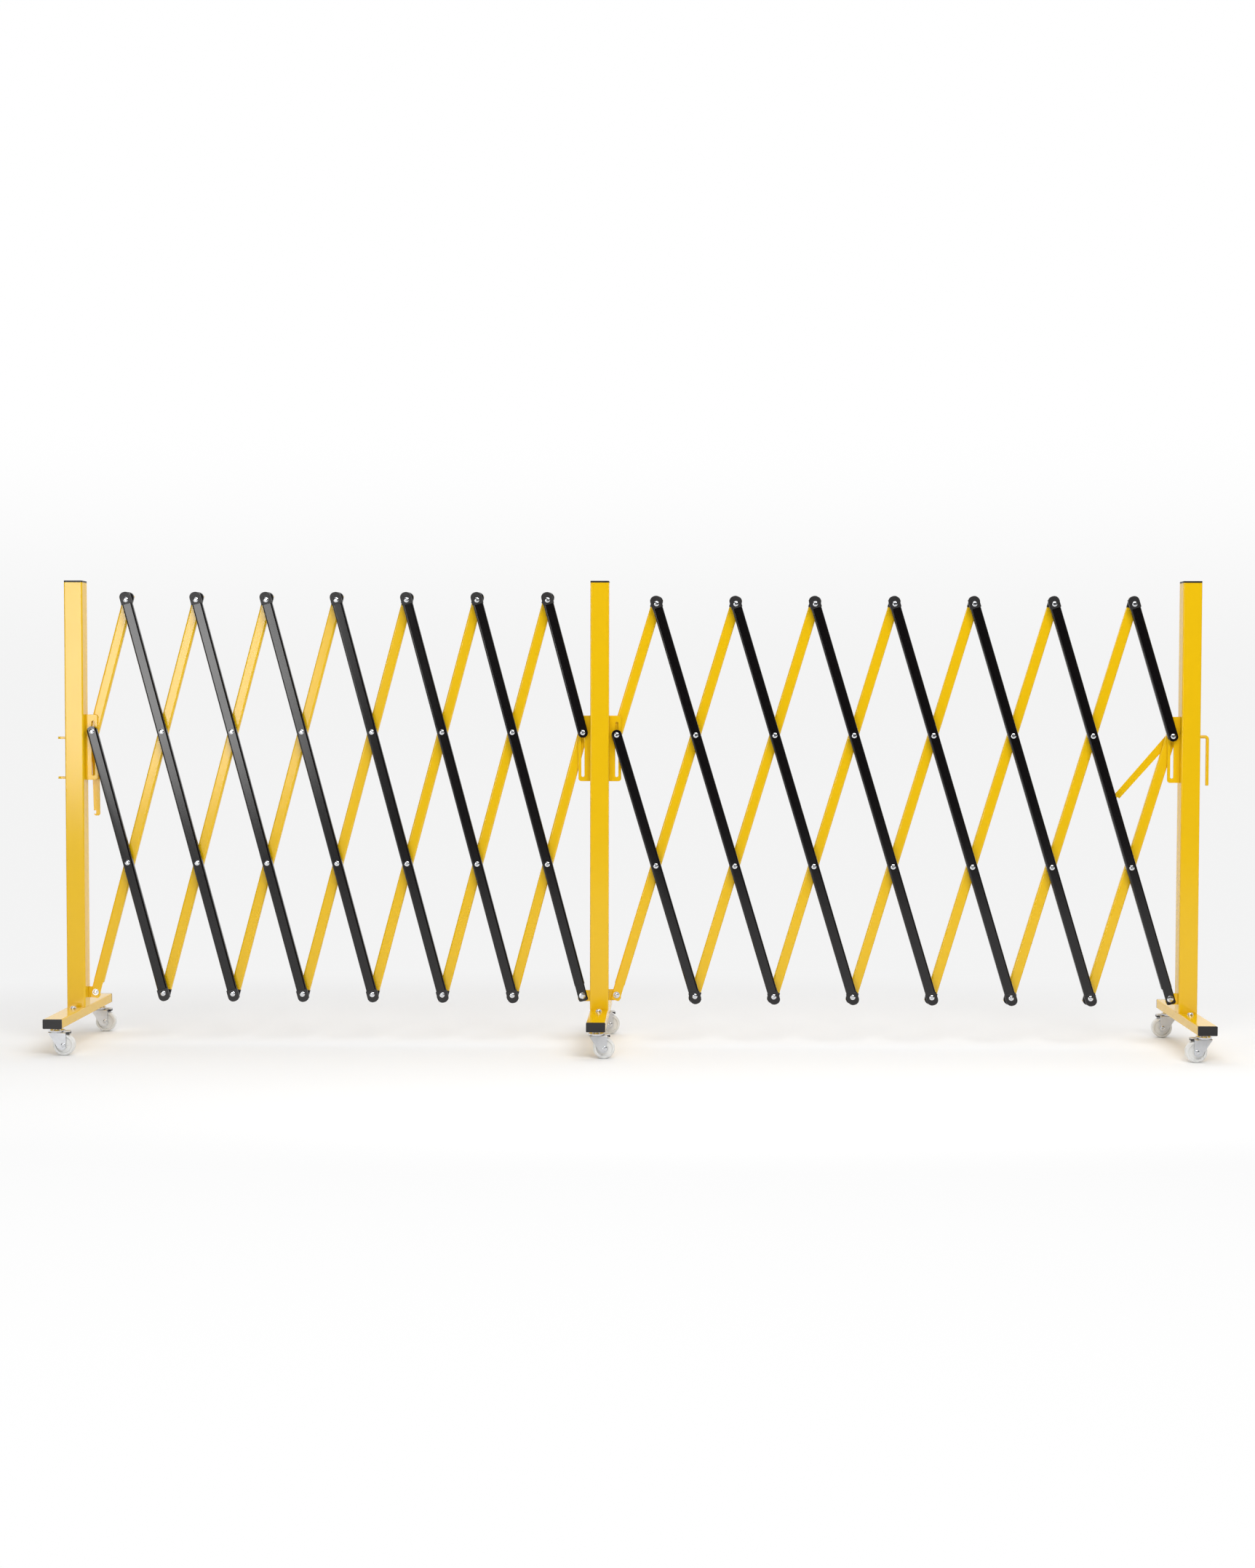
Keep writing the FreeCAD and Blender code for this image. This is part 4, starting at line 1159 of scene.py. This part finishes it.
# The backdrop's tone, from the horizon up
BACKDROP_TONE = {"From Min": 0.0, "From Max": 0.12, "To Min": 0.9, "To Max": 1.0}
SMOOTHLY = {"interpolation_type": "SMOOTHSTEP"}
# Soft boxes: name, place, target, width and height in metres, and watts
LAMPS = (
    # It stands beside the camera, so the glossy coats at the left mirror it
    ("left_box", (-2.26, -4.75, 0.97), (-2.26, 0, 0.97), (1.5, 1.26), 43),
    ("front_box", (1.2, -3.2, 3.3), (0.6, 0, 0.4), (3.6, 1.2), 108),
    ("top_box", (0, -0.6, 4.2), (0, 0, 0.3), (5.0, 3.2), 72),
)
# The camera as the photograph was taken: place in metres, turn in degrees, focal length in photo pixels
CAMERA_PLACE = (0.126, -4.766, 0.76)
CAMERA_TURN = (87.666, -0.11, 1.569)
FOCAL_PIXELS = 3055
# Width of the camera's sensor in millimetres
SENSOR = 36


def shown(tree, lit):
    """How far a ray sees the backdrop: the camera all of it, metal and clear pieces where it is lit."""
    rays = node(tree, "ShaderNodeLightPath")
    mirrored = node(
        tree, "ShaderNodeMath", {"operation": "MAXIMUM"},
        rays.outputs["Is Glossy Ray"], rays.outputs["Is Transmission Ray"],
    )
    there = node(tree, "ShaderNodeMath", {"operation": "MULTIPLY"}, mirrored.outputs[0], lit)
    both = node(
        tree, "ShaderNodeMath", {"operation": "MAXIMUM"}, rays.outputs["Is Camera Ray"], there.outputs[0]
    )
    return both.outputs[0]


def studio_paper():
    """Matt studio paper: it takes the barrier's shadow close by, and is plain white paper further off."""
    material, tree, shader = new_material("studio_paper")
    shader.inputs["Roughness"].default_value = PAPER_ROUGHNESS
    shader.inputs["Specular IOR Level"].default_value = 0.0
    where = node(tree, "ShaderNodeTexCoord").outputs["Object"]
    deep = node(tree, "ShaderNodeSeparateXYZ", Vector=where)
    # The floor in front of the paper is painted dark, as painted shade where the lamps' light falls off
    paper = node(tree, "ShaderNodeMapRange", {**PAINTED_SHADE_FALLOFF, **SMOOTHLY}, Value=deep.outputs["Y"])
    painted_shade_floor = node(tree, "ShaderNodeMix", {"data_type": "RGBA"}, Factor=paper.outputs["Result"])
    painted_shade_floor.inputs[MIX_A].default_value = (*finish().painted_shade_floor, 1)
    painted_shade_floor.inputs[MIX_B].default_value = (*finish().floor, 1)
    tree.links.new(painted_shade_floor.outputs[MIX_RESULT], shader.inputs["Base Color"])
    # The shaded patch fades out into plain white
    place = node(tree, "ShaderNodeMapping", {"Scale": [1 / reach for reach in SHADE_REACH]}, Vector=where)
    far = node(tree, "ShaderNodeVectorMath", {"operation": "LENGTH"}, place.outputs["Vector"])
    fade = node(tree, "ShaderNodeMapRange", {**SHADE_FADE, **SMOOTHLY}, Value=far.outputs["Value"])
    seen = node(
        tree, "ShaderNodeMath", {"operation": "MULTIPLY"},
        fade.outputs["Result"], shown(tree, paper.outputs["Result"]),
    )
    # White under the camera, a little greyer towards the horizon all round
    away = node(tree, "ShaderNodeVectorMath", {"operation": "DISTANCE"}, where)
    away.inputs[1].default_value = WHITEST
    tone = node(tree, "ShaderNodeMapRange", {**PAPER_TONE, **SMOOTHLY}, Value=away.outputs["Value"])
    glow = node(tree, "ShaderNodeEmission", {"Color": WHITE}, Strength=tone.outputs["Result"])
    both = node(tree, "ShaderNodeMixShader", {}, seen.outputs[0], shader.outputs[0], glow.outputs[0])
    tree.links.new(both.outputs[0], tree.nodes["Material Output"].inputs["Surface"])
    return material


def studio_room(world):
    """A white backdrop to the camera; to the object, a room that is white behind it and dark in front."""
    world.use_nodes = True
    tree = world.node_tree
    tree.nodes.clear()
    where = node(tree, "ShaderNodeTexCoord")
    way = node(tree, "ShaderNodeSeparateXYZ", Vector=where.outputs["Generated"])
    room = node(tree, "ShaderNodeMapRange", {**ROOM_LIGHT, **SMOOTHLY}, Value=way.outputs["Y"])
    behind = node(tree, "ShaderNodeMapRange", {**ROOM_BEHIND, **SMOOTHLY}, Value=way.outputs["Y"])
    backdrop = node(tree, "ShaderNodeMapRange", {**BACKDROP_TONE, **SMOOTHLY}, Value=way.outputs["Z"])
    ambient = node(tree, "ShaderNodeBackground", {"Color": WHITE}, Strength=room.outputs["Result"])
    paper = node(tree, "ShaderNodeBackground", {"Color": WHITE}, Strength=backdrop.outputs["Result"])
    both = node(
        tree, "ShaderNodeMixShader", {},
        shown(tree, behind.outputs["Result"]), ambient.outputs[0], paper.outputs[0],
    )
    node(tree, "ShaderNodeOutputWorld", Surface=both.outputs[0])


def soft_box(name, place, target, size, watts):
    bpy.ops.object.light_add(type="AREA", location=place)
    lamp = bpy.context.object
    lamp.name = name
    lamp.data.shape = "RECTANGLE"
    lamp.data.size, lamp.data.size_y = size
    lamp.data.energy = watts
    lamp.rotation_euler = (Vector(target) - Vector(place)).to_track_quat("-Z", "Y").to_euler()


class BARRIER_OT_stage(bpy.types.Operator):
    """Lay the floor, light the studio and set the camera as the photograph was taken"""

    bl_idname = "barrier.stage"
    bl_label = "Stage"

    def execute(self, context):
        scene = context.scene
        scene.view_settings.view_transform = "Standard"
        bpy.ops.object.select_all(action="DESELECT")
        bpy.ops.mesh.primitive_plane_add(size=FLOOR_SIZE, location=(0, 0, 0))
        floor = context.object
        floor.name = "studio_floor"
        floor.data.materials.append(studio_paper())
        scene.world = scene.world or bpy.data.worlds.new("studio")
        studio_room(scene.world)
        for name, place, target, size, watts in LAMPS:
            soft_box(name, place, target, size, watts)
        camera = bpy.data.objects.new("camera", bpy.data.cameras.new("camera"))
        scene.collection.objects.link(camera)
        # The sensor's width is that of the photograph's long side
        camera.data.sensor_width = SENSOR
        camera.data.lens = SENSOR * FOCAL_PIXELS / max(PHOTO_SIZE)
        camera.location = CAMERA_PLACE
        camera.rotation_euler = [math.radians(part) for part in CAMERA_TURN]
        scene.camera = camera
        return {"FINISHED"}


class BARRIER_PT_pieces(bpy.types.Panel):
    """The barrier's pieces, in the order in which they are made"""

    bl_label = "Expandable Barrier"
    bl_idname = "BARRIER_PT_pieces"
    bl_space_type = "VIEW_3D"
    bl_region_type = "UI"
    bl_category = "Barrier"

    def draw(self, context):
        for operator in OPERATORS:
            self.layout.operator(operator.bl_idname)


OPERATORS = (
    BARRIER_OT_posts,
    BARRIER_OT_feet,
    BARRIER_OT_plugs,
    BARRIER_OT_castors,
    BARRIER_OT_bars,
    BARRIER_OT_caps,
    BARRIER_OT_rivets,
    BARRIER_OT_tab_bolts,
    BARRIER_OT_latches,
    BARRIER_OT_stage,
)
CLASSES = (BarrierSizes, BarrierFinish, *OPERATORS, BARRIER_PT_pieces)


def register():
    for item in CLASSES:
        bpy.utils.register_class(item)
    bpy.types.Scene.barrier_sizes = PointerProperty(type=BarrierSizes)
    bpy.types.Scene.barrier_finish = PointerProperty(type=BarrierFinish)


def unregister():
    del bpy.types.Scene.barrier_finish
    del bpy.types.Scene.barrier_sizes
    for item in reversed(CLASSES):
        bpy.utils.unregister_class(item)


def main():
    register()
    bpy.ops.barrier.posts()
    bpy.ops.barrier.feet()
    bpy.ops.barrier.plugs()
    bpy.ops.barrier.castors()
    bpy.ops.barrier.bars()
    bpy.ops.barrier.caps()
    bpy.ops.barrier.rivets()
    bpy.ops.barrier.tab_bolts()
    bpy.ops.barrier.latches()
    bpy.ops.barrier.stage()


if __name__ == "__main__":
    main()
